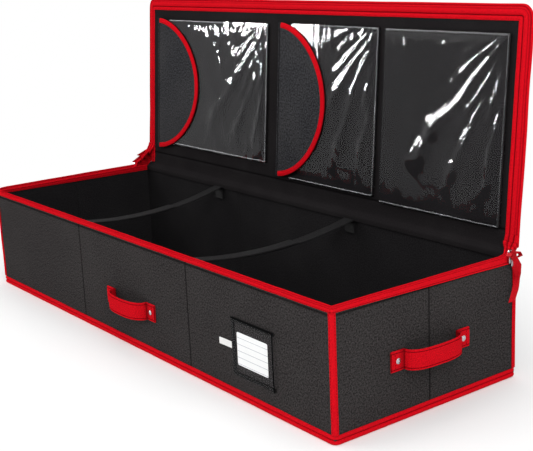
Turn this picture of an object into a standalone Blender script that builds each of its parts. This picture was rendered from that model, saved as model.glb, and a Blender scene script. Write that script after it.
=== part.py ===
"""Gift wrap organizer: a long, shallow, board-stiffened fabric box with an open zip-round lid.

Metres, +Z up. The origin is at the centre of the base, +X runs along the length and the lid
is hinged at the back, +Y. Everything on the lid is laid out with the lid closed and is then
turned open by one empty on the hinge line.
"""

import math

import bpy
import bmesh
from mathutils import Vector

# Overall size of the box
LENGTH = 1.02
DEPTH = 0.35
RIM_HEIGHT = 0.187
WALL = 0.004
GAP = 0.0003
CUT_OVERRUN = 0.002

# Base
BASE_BAND_HEIGHT = 0.013
BASE_BAND_PROUD = 0.003
BASE_BAND_INSET = 0.003
BASE_CORNER_RADIUS = 0.010
BOTTOM_THICK = 0.004
BOARD_THICK = 0.003
BOARD_PLAY = 0.001

# Red bindings of the box
BINDING_THICK = 0.0012
RIM_LEG = 0.0115
RIM_INNER_LEG = 0.009
CORNER_LEG = 0.006
BOX_TAPE_HEIGHT = 0.0027
BOX_TAPE_WIDTH = 0.008
BOX_TAPE_SET_IN = 0.0002

# Sewn fold lines of the walls
SEAM_WIDTH = 0.0016
SEAM_DEPTH = 0.0008
LONG_WALL_SEAM_SHARES = (-1 / 6, 1 / 6)

# Hinge and lid
HINGE_RADIUS = 0.0015
HINGE_BEHIND_RIM = 0.0003
LID_LEAN = math.radians(4.53)
LID_CLOSED_TO_OPEN = math.radians(90.0) + LID_LEAN
LID_THICK = 0.004
LID_TAPE_START = 0.0015
LID_TAPE_THICK = 0.0008
LID_PANEL_START = 0.006
LID_BORDER_START = 0.008
LID_PANEL_RADIUS = 0.002
LID_BINDING_WIDTH = 0.006
LID_BINDING_PROUD = 0.0012
LID_ZIP_WIDTH = 0.0098
LID_ZIP_THICK = 0.0018
LID_ZIP_ROLL = 0.0034
LID_SIDE_SET_IN = 0.001

# Clear pockets on the inside of the lid: left and right as shares of the panel's half length,
# low and high as shares of its reach
POCKET_DEPTH = 0.0057
POCKET_BAR = 0.004
WINDOW_THICK = 0.0006
LEFT_POCKET_SHARES = (-0.850, -0.178, 0.166, 0.923)
MIDDLE_POCKET_SHARES = (-0.032, 0.417, 0.107, 0.929)
RIGHT_POCKET_SHARES = (0.451, 0.965, 0.089, 0.926)

# Flaps over the two left pockets: hinge line and reach as shares of the panel's half length,
# low and high as shares of its reach
FLAP_THICK = 0.0015
FLAP_BINDING_WIDTH = 0.006
FLAP_BINDING_THICK = 0.003
FLAP_ANCHOR_WIDTH = 0.006
LEFT_FLAP_SHARES = (-0.915, 0.287, 0.134, 0.929)
MIDDLE_FLAP_SHARES = (-0.089, 0.251, 0.113, 0.932)
ARC_STEPS = 16

# Handles
HANDLE_LENGTH = 0.150
HANDLE_WIDTH = 0.030
HANDLE_THICK = 0.0025
HANDLE_TAB = 0.024
HANDLE_STAND_OFF = 0.022
HANDLE_ROUNDNESS = 2.6
HANDLE_STEPS = 18
FRONT_HANDLE_HEIGHT_SHARE = 0.396
END_HANDLE_HEIGHT_SHARE = 0.471

# Rivets of the handles
RIVET_SHANK_RADIUS = 0.002
RIVET_HOLE_RADIUS = 0.0023
RIVET_HEAD_RADIUS = 0.0042
RIVET_HEAD_HEIGHT = 0.0018
RIVET_TAIL_THICK = 0.0008
RIVET_SIDES = 16

# Outer pocket on the left end
POCKET_SHEET = 0.0015
OUTER_POCKET_BULGE = 0.016
OUTER_POCKET_FOOT = 0.016
OUTER_POCKET_TOP_BELOW_RIM = 0.0005
OUTER_POCKET_END = 0.003
OUTER_POCKET_TAPER = 0.019
OUTER_POCKET_FLOOR_PLAY = 0.004
OUTER_BINDING_HEIGHT = 0.0052
OUTER_BINDING_THICK = 0.0032

# Label holder and side tag on the front wall
HOLDER_PLACE_SHARE = 0.2833
HOLDER_WIDTH = 0.099
HOLDER_LOW = 0.036
HOLDER_HIGH = 0.124
HOLDER_BAR = 0.006
HOLDER_THICK = 0.0016
LABEL_WINDOW_THICK = 0.0005
CARD_WIDTH = 0.072
CARD_HEIGHT = 0.050
CARD_THICK = 0.0005
CARD_INDENT = 0.011
CARD_RISE = 0.017
TAG_WIDTH = 0.030
TAG_HEIGHT = 0.010
TAG_RISE = 0.038
TAG_THICK = 0.0008
TAG_BESIDE_HOLDER = 0.003

# Straps that hold the rolls down
STRAP_FRONT_SHARES = {"left": -0.157, "right": 0.1765}
STRAP_BACK_SHARES = {"left": -0.227, "right": 0.154}
STRAP_WIDTH = 0.026
STRAP_THICK = 0.0018
STRAP_SAG = 0.016
STRAP_BELOW_RIM = 0.0055
STRAP_LEG = 0.024
STRAP_STEPS = 14
STRAP_LOWER_REACH_SHARE = 0.70
STRAP_UPPER_REACH_SHARE = 0.62
ANCHOR_THICK = 0.0015
ANCHOR_HEIGHT = 0.030

# Zip sliders and pulls
SLIDER_PLACE_SHARES = {"left": 0.857, "right": 0.914}
SLIDER_LENGTH = 0.010
SLIDER_THICK = 0.005
SLIDER_BELOW_RIM = 0.009
SLIDER_ABOVE_RIM = 0.011
TAB_THICK = 0.0012
TAB_WIDTH = 0.006
TAB_LENGTH = 0.016
RIGHT_PIVOT_ABOVE_RIM = 0.003
LEFT_TAB_LIFT = 0.0004
RIBBON_KNOT_RADIUS = 0.0052
RIBBON_WIDTH = 0.007
RIBBON_THICK = 0.0016
RIBBON_LENGTH = 0.068
RIBBON_SPREAD = 0.009
RIBBON_STEPS = 8

# Sizes that follow from the ones above
HALF_LENGTH = LENGTH / 2
HALF_DEPTH = DEPTH / 2
WALL_LOW = BASE_BAND_HEIGHT + GAP
WALL_HIGH = RIM_HEIGHT - BINDING_THICK - GAP
BINDING_OUT = GAP + BINDING_THICK
HOLDER_LEFT = HOLDER_PLACE_SHARE * LENGTH
HINGE_Y = HALF_DEPTH + BINDING_OUT + HINGE_BEHIND_RIM
HINGE_Z = RIM_HEIGHT + GAP + HINGE_RADIUS
STRAP_TOP = RIM_HEIGHT - STRAP_BELOW_RIM
RIGHT_PIVOT_HEIGHT = RIM_HEIGHT + RIGHT_PIVOT_ABOVE_RIM
LID_UNDER = HINGE_RADIUS + GAP
LID_REACH = HINGE_Y + HALF_DEPTH + BINDING_OUT
LID_HALF = HALF_LENGTH + BINDING_OUT - LID_SIDE_SET_IN
PANEL_MARGIN = LID_ZIP_WIDTH + LID_BINDING_WIDTH + 2 * GAP
PANEL_HALF = LID_HALF - PANEL_MARGIN
PANEL_REACH = LID_REACH - PANEL_MARGIN
OUTSIDE_RIM = HALF_LENGTH + BINDING_OUT + GAP

FABRIC_BLACK = ("fabric_black", (0.026, 0.025, 0.026), 0.9, 0.0)
LINING_BLACK = ("lining_black", (0.012, 0.012, 0.013), 0.85, 0.0)
FLAP_GREY = ("flap_grey", (0.045, 0.045, 0.048), 0.9, 0.0)
BINDING_RED = ("binding_red", (0.62, 0.008, 0.018), 0.7, 0.0)
STRAP_BLACK = ("strap_black", (0.022, 0.021, 0.023), 0.8, 0.0)
CLEAR_SHEET = ("clear_sheet", (0.80, 0.82, 0.84), 0.08, 0.0)
CARD_WHITE = ("card_white", (0.86, 0.86, 0.84), 0.6, 0.0)
ZIP_METAL = ("zip_metal", (0.62, 0.62, 0.63), 0.28, 1.0)


def clear_scene():
    """Remove what the start-up file holds."""
    for thing in list(bpy.data.objects):
        bpy.data.objects.remove(thing, do_unlink=True)


def finish_material(finish):
    """Return the material of a finish, made once."""
    name, colour, roughness, metallic = finish
    material = bpy.data.materials.get(name)
    if material is None:
        material = bpy.data.materials.new(name)
        material.use_nodes = True
        shader = material.node_tree.nodes["Principled BSDF"]
        shader.inputs["Base Color"].default_value = (*colour, 1.0)
        shader.inputs["Roughness"].default_value = roughness
        shader.inputs["Metallic"].default_value = metallic
        material.diffuse_color = (*colour, 1.0)
    return material


def place(name, bm, finish, parent=None, smooth=False):
    """Turn a bmesh into a named object with outward faces."""
    bmesh.ops.recalc_face_normals(bm, faces=bm.faces)
    mesh = bpy.data.meshes.new(name)
    bm.to_mesh(mesh)
    bm.free()
    if smooth:
        mesh.shade_smooth()
        mesh.set_sharp_from_angle(angle=math.radians(35.0))
    thing = bpy.data.objects.new(name, mesh)
    bpy.context.collection.objects.link(thing)
    mesh.materials.append(finish_material(finish))
    thing.parent = parent
    return thing


def point_of(along, a, b, c):
    """Put outline coordinates a, b and the height c on the axes of a prism."""
    return {"z": (a, b, c), "y": (a, c, b), "x": (c, a, b)}[along]


def prism_mesh(outline, low, high, along="z"):
    """Extrude a flat outline between two heights along one axis."""
    bm = bmesh.new()
    first = [bm.verts.new(point_of(along, a, b, low)) for a, b in outline]
    last = [bm.verts.new(point_of(along, a, b, high)) for a, b in outline]
    bm.faces.new(first)
    bm.faces.new(last)
    count = len(outline)
    for i in range(count):
        j = (i + 1) % count
        bm.faces.new((first[i], first[j], last[j], last[i]))
    return bm


def prism(name, outline, low, high, finish, along="z", parent=None, smooth=False):
    """Make a prism as an object."""
    return place(name, prism_mesh(outline, low, high, along), finish, parent, smooth)


def block(name, low, high, finish, parent=None):
    """Make a rectangular block between two corners."""
    outline = [(low[0], low[1]), (high[0], low[1]), (high[0], high[1]), (low[0], high[1])]
    return prism(name, outline, low[2], high[2], finish, parent=parent)


def sweep(name, path, profile, closed, finish, parent=None, smooth=False):
    """Carry a profile of (outward, height) points along a path of (x, y, outward x, outward y)."""
    bm = bmesh.new()
    rings = []
    for x, y, nx, ny in path:
        rings.append([bm.verts.new((x + nx * out, y + ny * out, up)) for out, up in profile])
    count = len(profile)
    stretches = len(path) if closed else len(path) - 1
    for i in range(stretches):
        ring, following = rings[i], rings[(i + 1) % len(path)]
        for k in range(count):
            m = (k + 1) % count
            bm.faces.new((ring[k], ring[m], following[m], following[k]))
    if not closed:
        bm.faces.new(rings[0])
        bm.faces.new(rings[-1])
    return place(name, bm, finish, parent, smooth)


def corner_points(cx, cy, sign_x, sign_y, radius, first_angle, steps):
    """Return a rounded corner of a path, or one mitred point where the radius is zero."""
    if radius == 0:
        return [(cx, cy, sign_x, sign_y)]
    points = []
    for i in range(steps + 1):
        angle = first_angle + math.radians(90.0) * i / steps
        nx, ny = math.cos(angle), math.sin(angle)
        centre_x, centre_y = cx - sign_x * radius, cy - sign_y * radius
        points.append((centre_x + nx * radius, centre_y + ny * radius, nx, ny))
    return points


def loop_path(half_x, front, back, radius, steps):
    """Return the closed path round a rectangle, with rounded or mitred corners."""
    path = corner_points(half_x, front, 1, -1, radius, math.radians(-90.0), steps)
    path += corner_points(half_x, back, 1, 1, radius, 0.0, steps)
    path += corner_points(-half_x, back, -1, 1, radius, math.radians(90.0), steps)
    path += corner_points(-half_x, front, -1, -1, radius, math.radians(180.0), steps)
    return path


def three_sided_path(half_x, front, back, radius, steps):
    """Return the path along the left, front and right sides of a rectangle."""
    path = [(-half_x, back, -1, 0)]
    path += corner_points(-half_x, front, -1, -1, radius, math.radians(180.0), steps)
    path += corner_points(half_x, front, 1, -1, radius, math.radians(270.0), steps)
    path.append((half_x, back, 1, 0))
    return path


def ribbon_outline(line, thickness):
    """Return the closed outline of a strip of even thickness along a line of points."""
    left, right = [], []
    count = len(line)
    for i, point in enumerate(line):
        here = Vector(point)
        before = (here - Vector(line[i - 1])).normalized() if i > 0 else None
        after = (Vector(line[i + 1]) - here).normalized() if i < count - 1 else None
        first = before or after
        second = after or before
        bisector = (first + second).normalized()
        normal = Vector((-bisector.y, bisector.x))
        stretch = 1.0 / max(normal.dot(Vector((-first.y, first.x))), 0.5)
        left.append(here + normal * stretch * thickness / 2)
        right.append(here - normal * stretch * thickness / 2)
    return [tuple(p) for p in left] + [tuple(p) for p in reversed(right)]


def cutter(name, bm):
    """Make an object that only cuts others."""
    thing = place(name, bm, BINDING_RED)
    thing.hide_render = True
    thing.display_type = "WIRE"
    return thing


def cut(thing, tool):
    """Cut a tool out of an object."""
    modifier = thing.modifiers.new("cut_" + tool.name, "BOOLEAN")
    modifier.operation = "DIFFERENCE"
    modifier.solver = "EXACT"
    modifier.object = tool


def disc_outline(cx, cy, radius, sides):
    """Return a regular outline round a centre."""
    angles = [2 * math.pi * i / sides for i in range(sides)]
    return [(cx + radius * math.cos(a), cy + radius * math.sin(a)) for a in angles]


def make_base():
    """Bottom panel, stiffening board and the red band round them."""
    inside = BASE_BAND_INSET + GAP
    panel_half, panel_deep = HALF_LENGTH - inside, HALF_DEPTH - inside
    radius = BASE_CORNER_RADIUS - inside
    panel = loop_path(panel_half, -panel_deep, panel_deep, radius, 4)
    prism("bottom_panel", [(p[0], p[1]) for p in panel], 0.0, BOTTOM_THICK, FABRIC_BLACK)
    board_half, board_deep = panel_half - BOARD_PLAY, panel_deep - BOARD_PLAY
    board = loop_path(board_half, -board_deep, board_deep, radius - BOARD_PLAY, 4)
    low = BOTTOM_THICK + GAP
    prism("base_board", [(p[0], p[1]) for p in board], low, low + BOARD_THICK, LINING_BLACK)
    out, into, top = BASE_BAND_PROUD, -BASE_BAND_INSET, BASE_BAND_HEIGHT
    lower_roll_share, waist_share, soft_share = 0.55, 0.62, 0.12
    soft = top * soft_share
    profile = [
        (into, 0.0),
        (out - soft, 0.0),
        (out, soft),
        (out, top * lower_roll_share - soft),
        (out - soft / 2, top * lower_roll_share),
        (out * waist_share, top * waist_share),
        (out * waist_share, top - soft),
        (out * waist_share - soft, top),
        (into, top),
    ]
    path = loop_path(HALF_LENGTH, -HALF_DEPTH, HALF_DEPTH, BASE_CORNER_RADIUS, 6)
    sweep("bottom_binding", path, profile, True, BINDING_RED, smooth=True)


def seamed_outline(low, high, inner, outer, seams):
    """Return a wall's plan outline whose outer face has a groove at each seam."""
    way = 1 if outer > inner else -1
    outline = [(low, inner), (low, outer)]
    for seam in seams:
        outline.append((seam - SEAM_WIDTH / 2, outer))
        outline.append((seam, outer - way * SEAM_DEPTH))
        outline.append((seam + SEAM_WIDTH / 2, outer))
    outline += [(high, outer), (high, inner)]
    return outline


def make_walls():
    """Four stiff walls, the ends set between the long ones."""
    seams = [share * LENGTH for share in LONG_WALL_SEAM_SHARES]
    walls = {}
    for name, side in (("front_wall", -1), ("back_wall", 1)):
        inner, outer = side * (HALF_DEPTH - WALL), side * HALF_DEPTH
        outline = seamed_outline(-HALF_LENGTH, HALF_LENGTH, inner, outer, seams)
        walls[name] = prism(name, outline, WALL_LOW, WALL_HIGH, FABRIC_BLACK)
    reach = HALF_DEPTH - WALL - GAP
    for name, side in (("left_wall", -1), ("right_wall", 1)):
        inner, outer = side * (HALF_LENGTH - WALL), side * HALF_LENGTH
        outline = seamed_outline(-reach, reach, inner, outer, [0.0])
        outline = [(b, a) for a, b in outline]
        walls[name] = prism(name, outline, WALL_LOW, WALL_HIGH, FABRIC_BLACK)
    return walls


def make_box_bindings():
    """Rim binding, zip tape on the rim and the four upright corner bindings."""
    outer = BINDING_OUT
    inner = -(WALL + BINDING_OUT)
    cap = RIM_HEIGHT - BINDING_THICK
    profile = [
        (inner, RIM_HEIGHT - RIM_INNER_LEG),
        (inner, RIM_HEIGHT),
        (outer, RIM_HEIGHT),
        (outer, RIM_HEIGHT - RIM_LEG),
        (GAP, RIM_HEIGHT - RIM_LEG),
        (GAP, cap),
        (-WALL - GAP, cap),
        (-WALL - GAP, RIM_HEIGHT - RIM_INNER_LEG),
    ]
    path = loop_path(HALF_LENGTH, -HALF_DEPTH, HALF_DEPTH, 0, 1)
    sweep("rim_binding", path, profile, True, BINDING_RED)

    out = BINDING_OUT - BOX_TAPE_SET_IN
    low = RIM_HEIGHT + GAP
    high = low + BOX_TAPE_HEIGHT
    ridge_share, dip_share = 0.45, 0.6
    ridge = out - BOX_TAPE_WIDTH * ridge_share
    tape = [
        (out, low),
        (out, high),
        (ridge, high),
        (ridge - GAP, low + BOX_TAPE_HEIGHT * dip_share),
        (out - BOX_TAPE_WIDTH, low + BOX_TAPE_HEIGHT * dip_share),
        (out - BOX_TAPE_WIDTH, low),
    ]
    back = HALF_DEPTH - SLIDER_LENGTH / 2
    path = three_sided_path(HALF_LENGTH, -HALF_DEPTH, back, 0, 1)
    sweep("box_zip_tape", path, tape, False, BINDING_RED)

    low, high = WALL_LOW, RIM_HEIGHT - RIM_LEG - GAP
    for name, sx, sy in (
        ("corner_binding_front_left", -1, -1),
        ("corner_binding_front_right", 1, -1),
        ("corner_binding_back_left", -1, 1),
        ("corner_binding_back_right", 1, 1),
    ):
        shape = [
            (GAP, GAP),
            (GAP, -CORNER_LEG),
            (outer, -CORNER_LEG),
            (outer, BINDING_THICK / 2),
            (outer - BINDING_THICK / 2, outer),
            (-CORNER_LEG, outer),
            (-CORNER_LEG, GAP),
        ]
        outline = [(sx * (HALF_LENGTH + a), sy * (HALF_DEPTH + b)) for a, b in shape]
        prism(name, outline, low, high, BINDING_RED)


def handle_line():
    """Return the handle's centre line as (along, out) points: two flat tabs and a bow."""
    half = HANDLE_LENGTH / 2
    root = half - HANDLE_TAB
    seat = GAP + HANDLE_THICK / 2
    line = [(-half, seat)]
    for i in range(HANDLE_STEPS + 1):
        angle = math.pi * i / HANDLE_STEPS
        along = abs(math.cos(angle)) ** (2 / HANDLE_ROUNDNESS)
        along = -root * math.copysign(along, math.cos(angle))
        out = seat + HANDLE_STAND_OFF * abs(math.sin(angle)) ** (2 / HANDLE_ROUNDNESS)
        line.append((along, out))
    line.append((half, seat))
    return line


def rivet_mesh(sheet):
    """Return a rivet along +Z from the outside of a strap, through it and one sheet."""
    grip = HANDLE_THICK + GAP + sheet
    dome_share, shoulder_share = 0.72, 0.55
    rim = RIVET_HEAD_HEIGHT * (1 - shoulder_share)
    half = [
        (0.0, RIVET_HEAD_HEIGHT),
        (RIVET_HEAD_RADIUS * dome_share, RIVET_HEAD_HEIGHT - rim / 2),
        (RIVET_HEAD_RADIUS, rim),
        (RIVET_HEAD_RADIUS, GAP),
        (RIVET_SHANK_RADIUS, GAP),
        (RIVET_SHANK_RADIUS, -grip - GAP),
        (RIVET_HEAD_RADIUS, -grip - GAP),
        (RIVET_HEAD_RADIUS, -grip - GAP - RIVET_TAIL_THICK),
        (0.0, -grip - GAP - RIVET_TAIL_THICK),
    ]
    bm = bmesh.new()
    rings = []
    for radius, up in half:
        if radius == 0:
            rings.append([bm.verts.new((0.0, 0.0, up))])
        else:
            around = disc_outline(0.0, 0.0, radius, RIVET_SIDES)
            rings.append([bm.verts.new((x, y, up)) for x, y in around])
    for upper, lower in zip(rings, rings[1:]):
        for i in range(RIVET_SIDES):
            j = (i + 1) % RIVET_SIDES
            if len(upper) == 1:
                bm.faces.new((upper[0], lower[i], lower[j]))
            elif len(lower) == 1:
                bm.faces.new((upper[i], lower[0], upper[j]))
            else:
                bm.faces.new((upper[i], lower[i], lower[j], upper[j]))
    return bm


def make_handle(name, carrier, centre, turn, sheet):
    """Make a riveted handle on an upright face that looks along -Y before it is turned."""
    outline = [(a, -out) for a, out in ribbon_outline(handle_line(), HANDLE_THICK)]
    low, high = -HANDLE_WIDTH / 2, HANDLE_WIDTH / 2
    strap = prism(name, outline, low, high, BINDING_RED, smooth=True)
    strap.location = centre
    strap.rotation_euler = (0.0, 0.0, turn)
    reach = HANDLE_THICK + sheet + CUT_OVERRUN
    place_along = HANDLE_LENGTH / 2 - HANDLE_TAB / 2
    for side, label in ((-1, "a"), (1, "b")):
        hole = disc_outline(side * place_along, 0.0, RIVET_HOLE_RADIUS, RIVET_SIDES)
        tool = cutter(name + "_hole_" + label, prism_mesh(hole, -reach, reach, "y"))
        tool.location = centre
        tool.rotation_euler = (0.0, 0.0, turn)
        cut(strap, tool)
        cut(carrier, tool)
        rivet = place(name + "_rivet_" + label, rivet_mesh(sheet), ZIP_METAL, smooth=True)
        seat = Vector((side * place_along, -(GAP + HANDLE_THICK), 0.0))
        seat.rotate(strap.rotation_euler)
        rivet.location = Vector(centre) + seat
        rivet.rotation_euler = (math.radians(90.0), 0.0, turn)


def outer_pocket_plan():
    """Return the plan line of the outer pocket's cloth, mid thickness, from back to front."""
    near = OUTSIDE_RIM + POCKET_SHEET / 2
    far = HALF_LENGTH + OUTER_POCKET_BULGE - POCKET_SHEET / 2
    end = HALF_DEPTH - OUTER_POCKET_END
    knee = end - OUTER_POCKET_TAPER
    return [(-near, end), (-far, knee), (-far, -knee), (-near, -end)]


def shortened(start, end, at_start, at_end):
    """Return a stretch of a line with a length taken off each end."""
    start, end = Vector(start), Vector(end)
    along = (end - start).normalized()
    return [tuple(start + along * at_start), tuple(end - along * at_end)]


def make_outer_pocket():
    """Full-width pocket on the left end: a flat sheet, two gussets, a floor and a red edge."""
    top = RIM_HEIGHT - OUTER_POCKET_TOP_BELOW_RIM
    back_end, back_knee, front_knee, front_end = outer_pocket_plan()
    gusset_play = POCKET_SHEET + GAP
    face = ribbon_outline([back_knee, front_knee], POCKET_SHEET)
    pocket = prism("outer_pocket_sheet", face, OUTER_POCKET_FOOT, top, FABRIC_BLACK)
    for label, near, knee in (("back", back_end, back_knee), ("front", front_end, front_knee)):
        strip = ribbon_outline(shortened(near, knee, 0.0, gusset_play), POCKET_SHEET)
        prism("outer_pocket_gusset_" + label, strip, OUTER_POCKET_FOOT, top, FABRIC_BLACK)
    inwards = Vector((POCKET_SHEET / 2 + GAP, 0.0))
    corners = [Vector(p) for p in (back_end, back_knee, front_knee, front_end)]
    floor = [
        (corners[0].x, corners[0].y - OUTER_POCKET_FLOOR_PLAY),
        (corners[1].x + inwards.x, corners[1].y - gusset_play),
        (corners[2].x + inwards.x, corners[2].y + gusset_play),
        (corners[3].x, corners[3].y + OUTER_POCKET_FLOOR_PLAY),
    ]
    prism("outer_pocket_floor", floor, OUTER_POCKET_FOOT, OUTER_POCKET_FOOT + POCKET_SHEET, FABRIC_BLACK)
    inwards = Vector((OUTER_BINDING_THICK / 2, 0.0))
    line = [corners[0] - inwards, corners[1], corners[2], corners[3] - inwards]
    edge = ribbon_outline([tuple(p) for p in line], OUTER_BINDING_THICK)
    low = top + GAP
    prism("outer_pocket_binding", edge, low, low + OUTER_BINDING_HEIGHT, BINDING_RED)
    return pocket


def make_label():
    """Label holder with a clear window, its card, and a plain sewn tag."""
    face = -HALF_DEPTH - GAP
    right = HOLDER_LEFT + HOLDER_WIDTH
    frame = [
        (right, HOLDER_LOW),
        (HOLDER_LEFT, HOLDER_LOW),
        (HOLDER_LEFT, HOLDER_HIGH),
        (right, HOLDER_HIGH),
        (right, HOLDER_HIGH - HOLDER_BAR),
        (HOLDER_LEFT + HOLDER_BAR, HOLDER_HIGH - HOLDER_BAR),
        (HOLDER_LEFT + HOLDER_BAR, HOLDER_LOW + HOLDER_BAR),
        (right, HOLDER_LOW + HOLDER_BAR),
    ]
    prism("label_holder", frame, face - HOLDER_THICK, face, STRAP_BLACK, along="y")
    window = face - HOLDER_THICK - GAP
    low = (HOLDER_LEFT, window - LABEL_WINDOW_THICK, HOLDER_LOW)
    block("label_window", low, (right, window, HOLDER_HIGH), CLEAR_SHEET)
    card = face - GAP
    left, bottom = HOLDER_LEFT + CARD_INDENT, HOLDER_LOW + CARD_RISE
    low = (left, card - CARD_THICK, bottom)
    block("label_card", low, (left + CARD_WIDTH, card, bottom + CARD_HEIGHT), CARD_WHITE)
    right, bottom = HOLDER_LEFT - TAG_BESIDE_HOLDER, HOLDER_LOW + TAG_RISE
    low = (right - TAG_WIDTH, face - TAG_THICK, bottom)
    block("side_tag", low, (right, face, bottom + TAG_HEIGHT), CARD_WHITE)


def strap_height(y, reach):
    """Return the height of the lower strap's centre line at a depth, sagging between its ends."""
    return STRAP_TOP - STRAP_SAG * (1 - (y / reach) ** 2)


def slanted_strip(name, line, slope, parent):
    """Make a strap half from its side view, each point shifted sideways with its depth."""
    half = STRAP_WIDTH / 2
    bm = prism_mesh(ribbon_outline(line, STRAP_THICK), -half, half, "x")
    for vert in bm.verts:
        vert.co.x += slope * vert.co.y
    return place(name, bm, STRAP_BLACK, parent, True)


def make_straps():
    """Two hook-and-loop straps: a lower half from the back wall, an upper from the front wall."""
    inside = HALF_DEPTH - WALL - BINDING_OUT - GAP
    reach = inside - ANCHOR_THICK - GAP
    lift = STRAP_THICK + GAP
    back = inside - STRAP_THICK / 2
    for side, front_share in STRAP_FRONT_SHARES.items():
        x = front_share * LENGTH
        slope = (STRAP_BACK_SHARES[side] * LENGTH - x) / (back + reach)
        stop = back - 2 * reach * STRAP_LOWER_REACH_SHARE
        line = [(back, STRAP_TOP - STRAP_LEG), (back, STRAP_TOP)]
        for i in range(1, STRAP_STEPS + 1):
            y = back + (stop - back) * i / STRAP_STEPS
            line.append((y, strap_height(y, back)))
        name = "strap_" + side
        lower = slanted_strip(name + "_lower", line, slope, None)
        lower.location.x = x + slope * reach

        front = -reach
        stop = front + 2 * reach * STRAP_UPPER_REACH_SHARE
        top = STRAP_TOP + lift + STRAP_THICK / 2
        line = []
        for i in range(STRAP_STEPS + 1):
            y = front + (stop - front) * i / STRAP_STEPS
            line.append((y - front, strap_height(y, back) + lift - top))
        hinge = bpy.data.objects.new(name + "_hinge", None)
        hinge.location = (x, front, top)
        bpy.context.collection.objects.link(hinge)
        slanted_strip(name + "_upper", line, slope, hinge)
        half = STRAP_WIDTH / 2
        low = (x - half, -inside, top - ANCHOR_HEIGHT)
        high = (x + half, -inside + ANCHOR_THICK, top)
        block(name + "_anchor", low, high, STRAP_BLACK)


def make_zip_pulls():
    """Two zip sliders outside the rim, with their tabs, and a ribbon tied to the right one."""
    low_x = OUTSIDE_RIM
    high_x = OUTSIDE_RIM + SLIDER_THICK
    sides = {"left": -1, "right": 1}
    places = {side: share * HALF_DEPTH for side, share in SLIDER_PLACE_SHARES.items()}
    for side, y in places.items():
        sign = sides[side]
        xs = sorted((sign * low_x, sign * high_x))
        low = (xs[0], y - SLIDER_LENGTH / 2, RIM_HEIGHT - SLIDER_BELOW_RIM)
        high = (xs[1], y + SLIDER_LENGTH / 2, RIM_HEIGHT + SLIDER_ABOVE_RIM)
        block("zip_slider_" + side, low, high, ZIP_METAL)

    root = high_x + GAP
    y = places["left"]
    rest = RIM_HEIGHT - OUTER_POCKET_TOP_BELOW_RIM + GAP + OUTER_BINDING_HEIGHT + LEFT_TAB_LIFT
    pivot = bpy.data.objects.new("pull_left_pivot", None)
    pivot.location = (-root, y, rest + TAB_THICK)
    bpy.context.collection.objects.link(pivot)
    half = TAB_WIDTH / 2
    block("pull_tab_left", (-TAB_LENGTH, -half, -TAB_THICK), (0.0, half, 0.0), ZIP_METAL, pivot)

    y = places["right"]
    pivot = bpy.data.objects.new("pull_right_pivot", None)
    pivot.location = (root, y, RIGHT_PIVOT_HEIGHT)
    bpy.context.collection.objects.link(pivot)
    block("pull_tab_right", (0.0, -half, -TAB_LENGTH), (TAB_THICK, half, 0.0), ZIP_METAL, pivot)
    make_ribbon(pivot)


def make_ribbon(pivot):
    """Tied ribbon below the right tab: a knot and two flat tails, joined into one body."""
    knot_centre = -TAB_LENGTH - GAP - RIBBON_KNOT_RADIUS
    out = TAB_THICK / 2
    squash_share = 0.8
    bm = bmesh.new()
    bmesh.ops.create_uvsphere(bm, u_segments=12, v_segments=8, radius=RIBBON_KNOT_RADIUS)
    for vert in bm.verts:
        vert.co.x = vert.co.x * squash_share + out
        vert.co.z += knot_centre
    knot = place("pull_ribbon", bm, BINDING_RED, pivot, True)
    drop = -RIBBON_LENGTH - knot_centre
    for label, way in (("a", -1), ("b", 1)):
        middle = []
        length_share = 1.0 if way < 0 else 0.86
        for i in range(RIBBON_STEPS + 1):
            t = i / RIBBON_STEPS
            swing = way * RIBBON_SPREAD / 2 * math.sin(t * math.pi / 2)
            middle.append((swing, knot_centre + drop * t * length_share))
        outline = ribbon_outline(middle, RIBBON_WIDTH)
        tail_out = out + way * RIBBON_THICK / 3
        tail = prism_mesh(outline, tail_out - RIBBON_THICK / 2, tail_out + RIBBON_THICK / 2, "x")
        tool = cutter("ribbon_tail_" + label, tail)
        tool.parent = pivot
        join = knot.modifiers.new("tail_" + label, "BOOLEAN")
        join.operation = "UNION"
        join.solver = "EXACT"
        join.object = tool


def make_hinge():
    """Rolled fabric welt on the back edge, and the empty that carries the lid."""
    half = PANEL_HALF
    outline = disc_outline(HINGE_Y, HINGE_Z, HINGE_RADIUS, 12)
    prism("hinge_welt", outline, -half, half, FABRIC_BLACK, along="x", smooth=True)
    hinge = bpy.data.objects.new("lid_hinge", None)
    hinge.location = (0.0, HINGE_Y, HINGE_Z)
    hinge.rotation_euler = (-LID_CLOSED_TO_OPEN, 0.0, 0.0)
    bpy.context.collection.objects.link(hinge)
    return hinge


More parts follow.
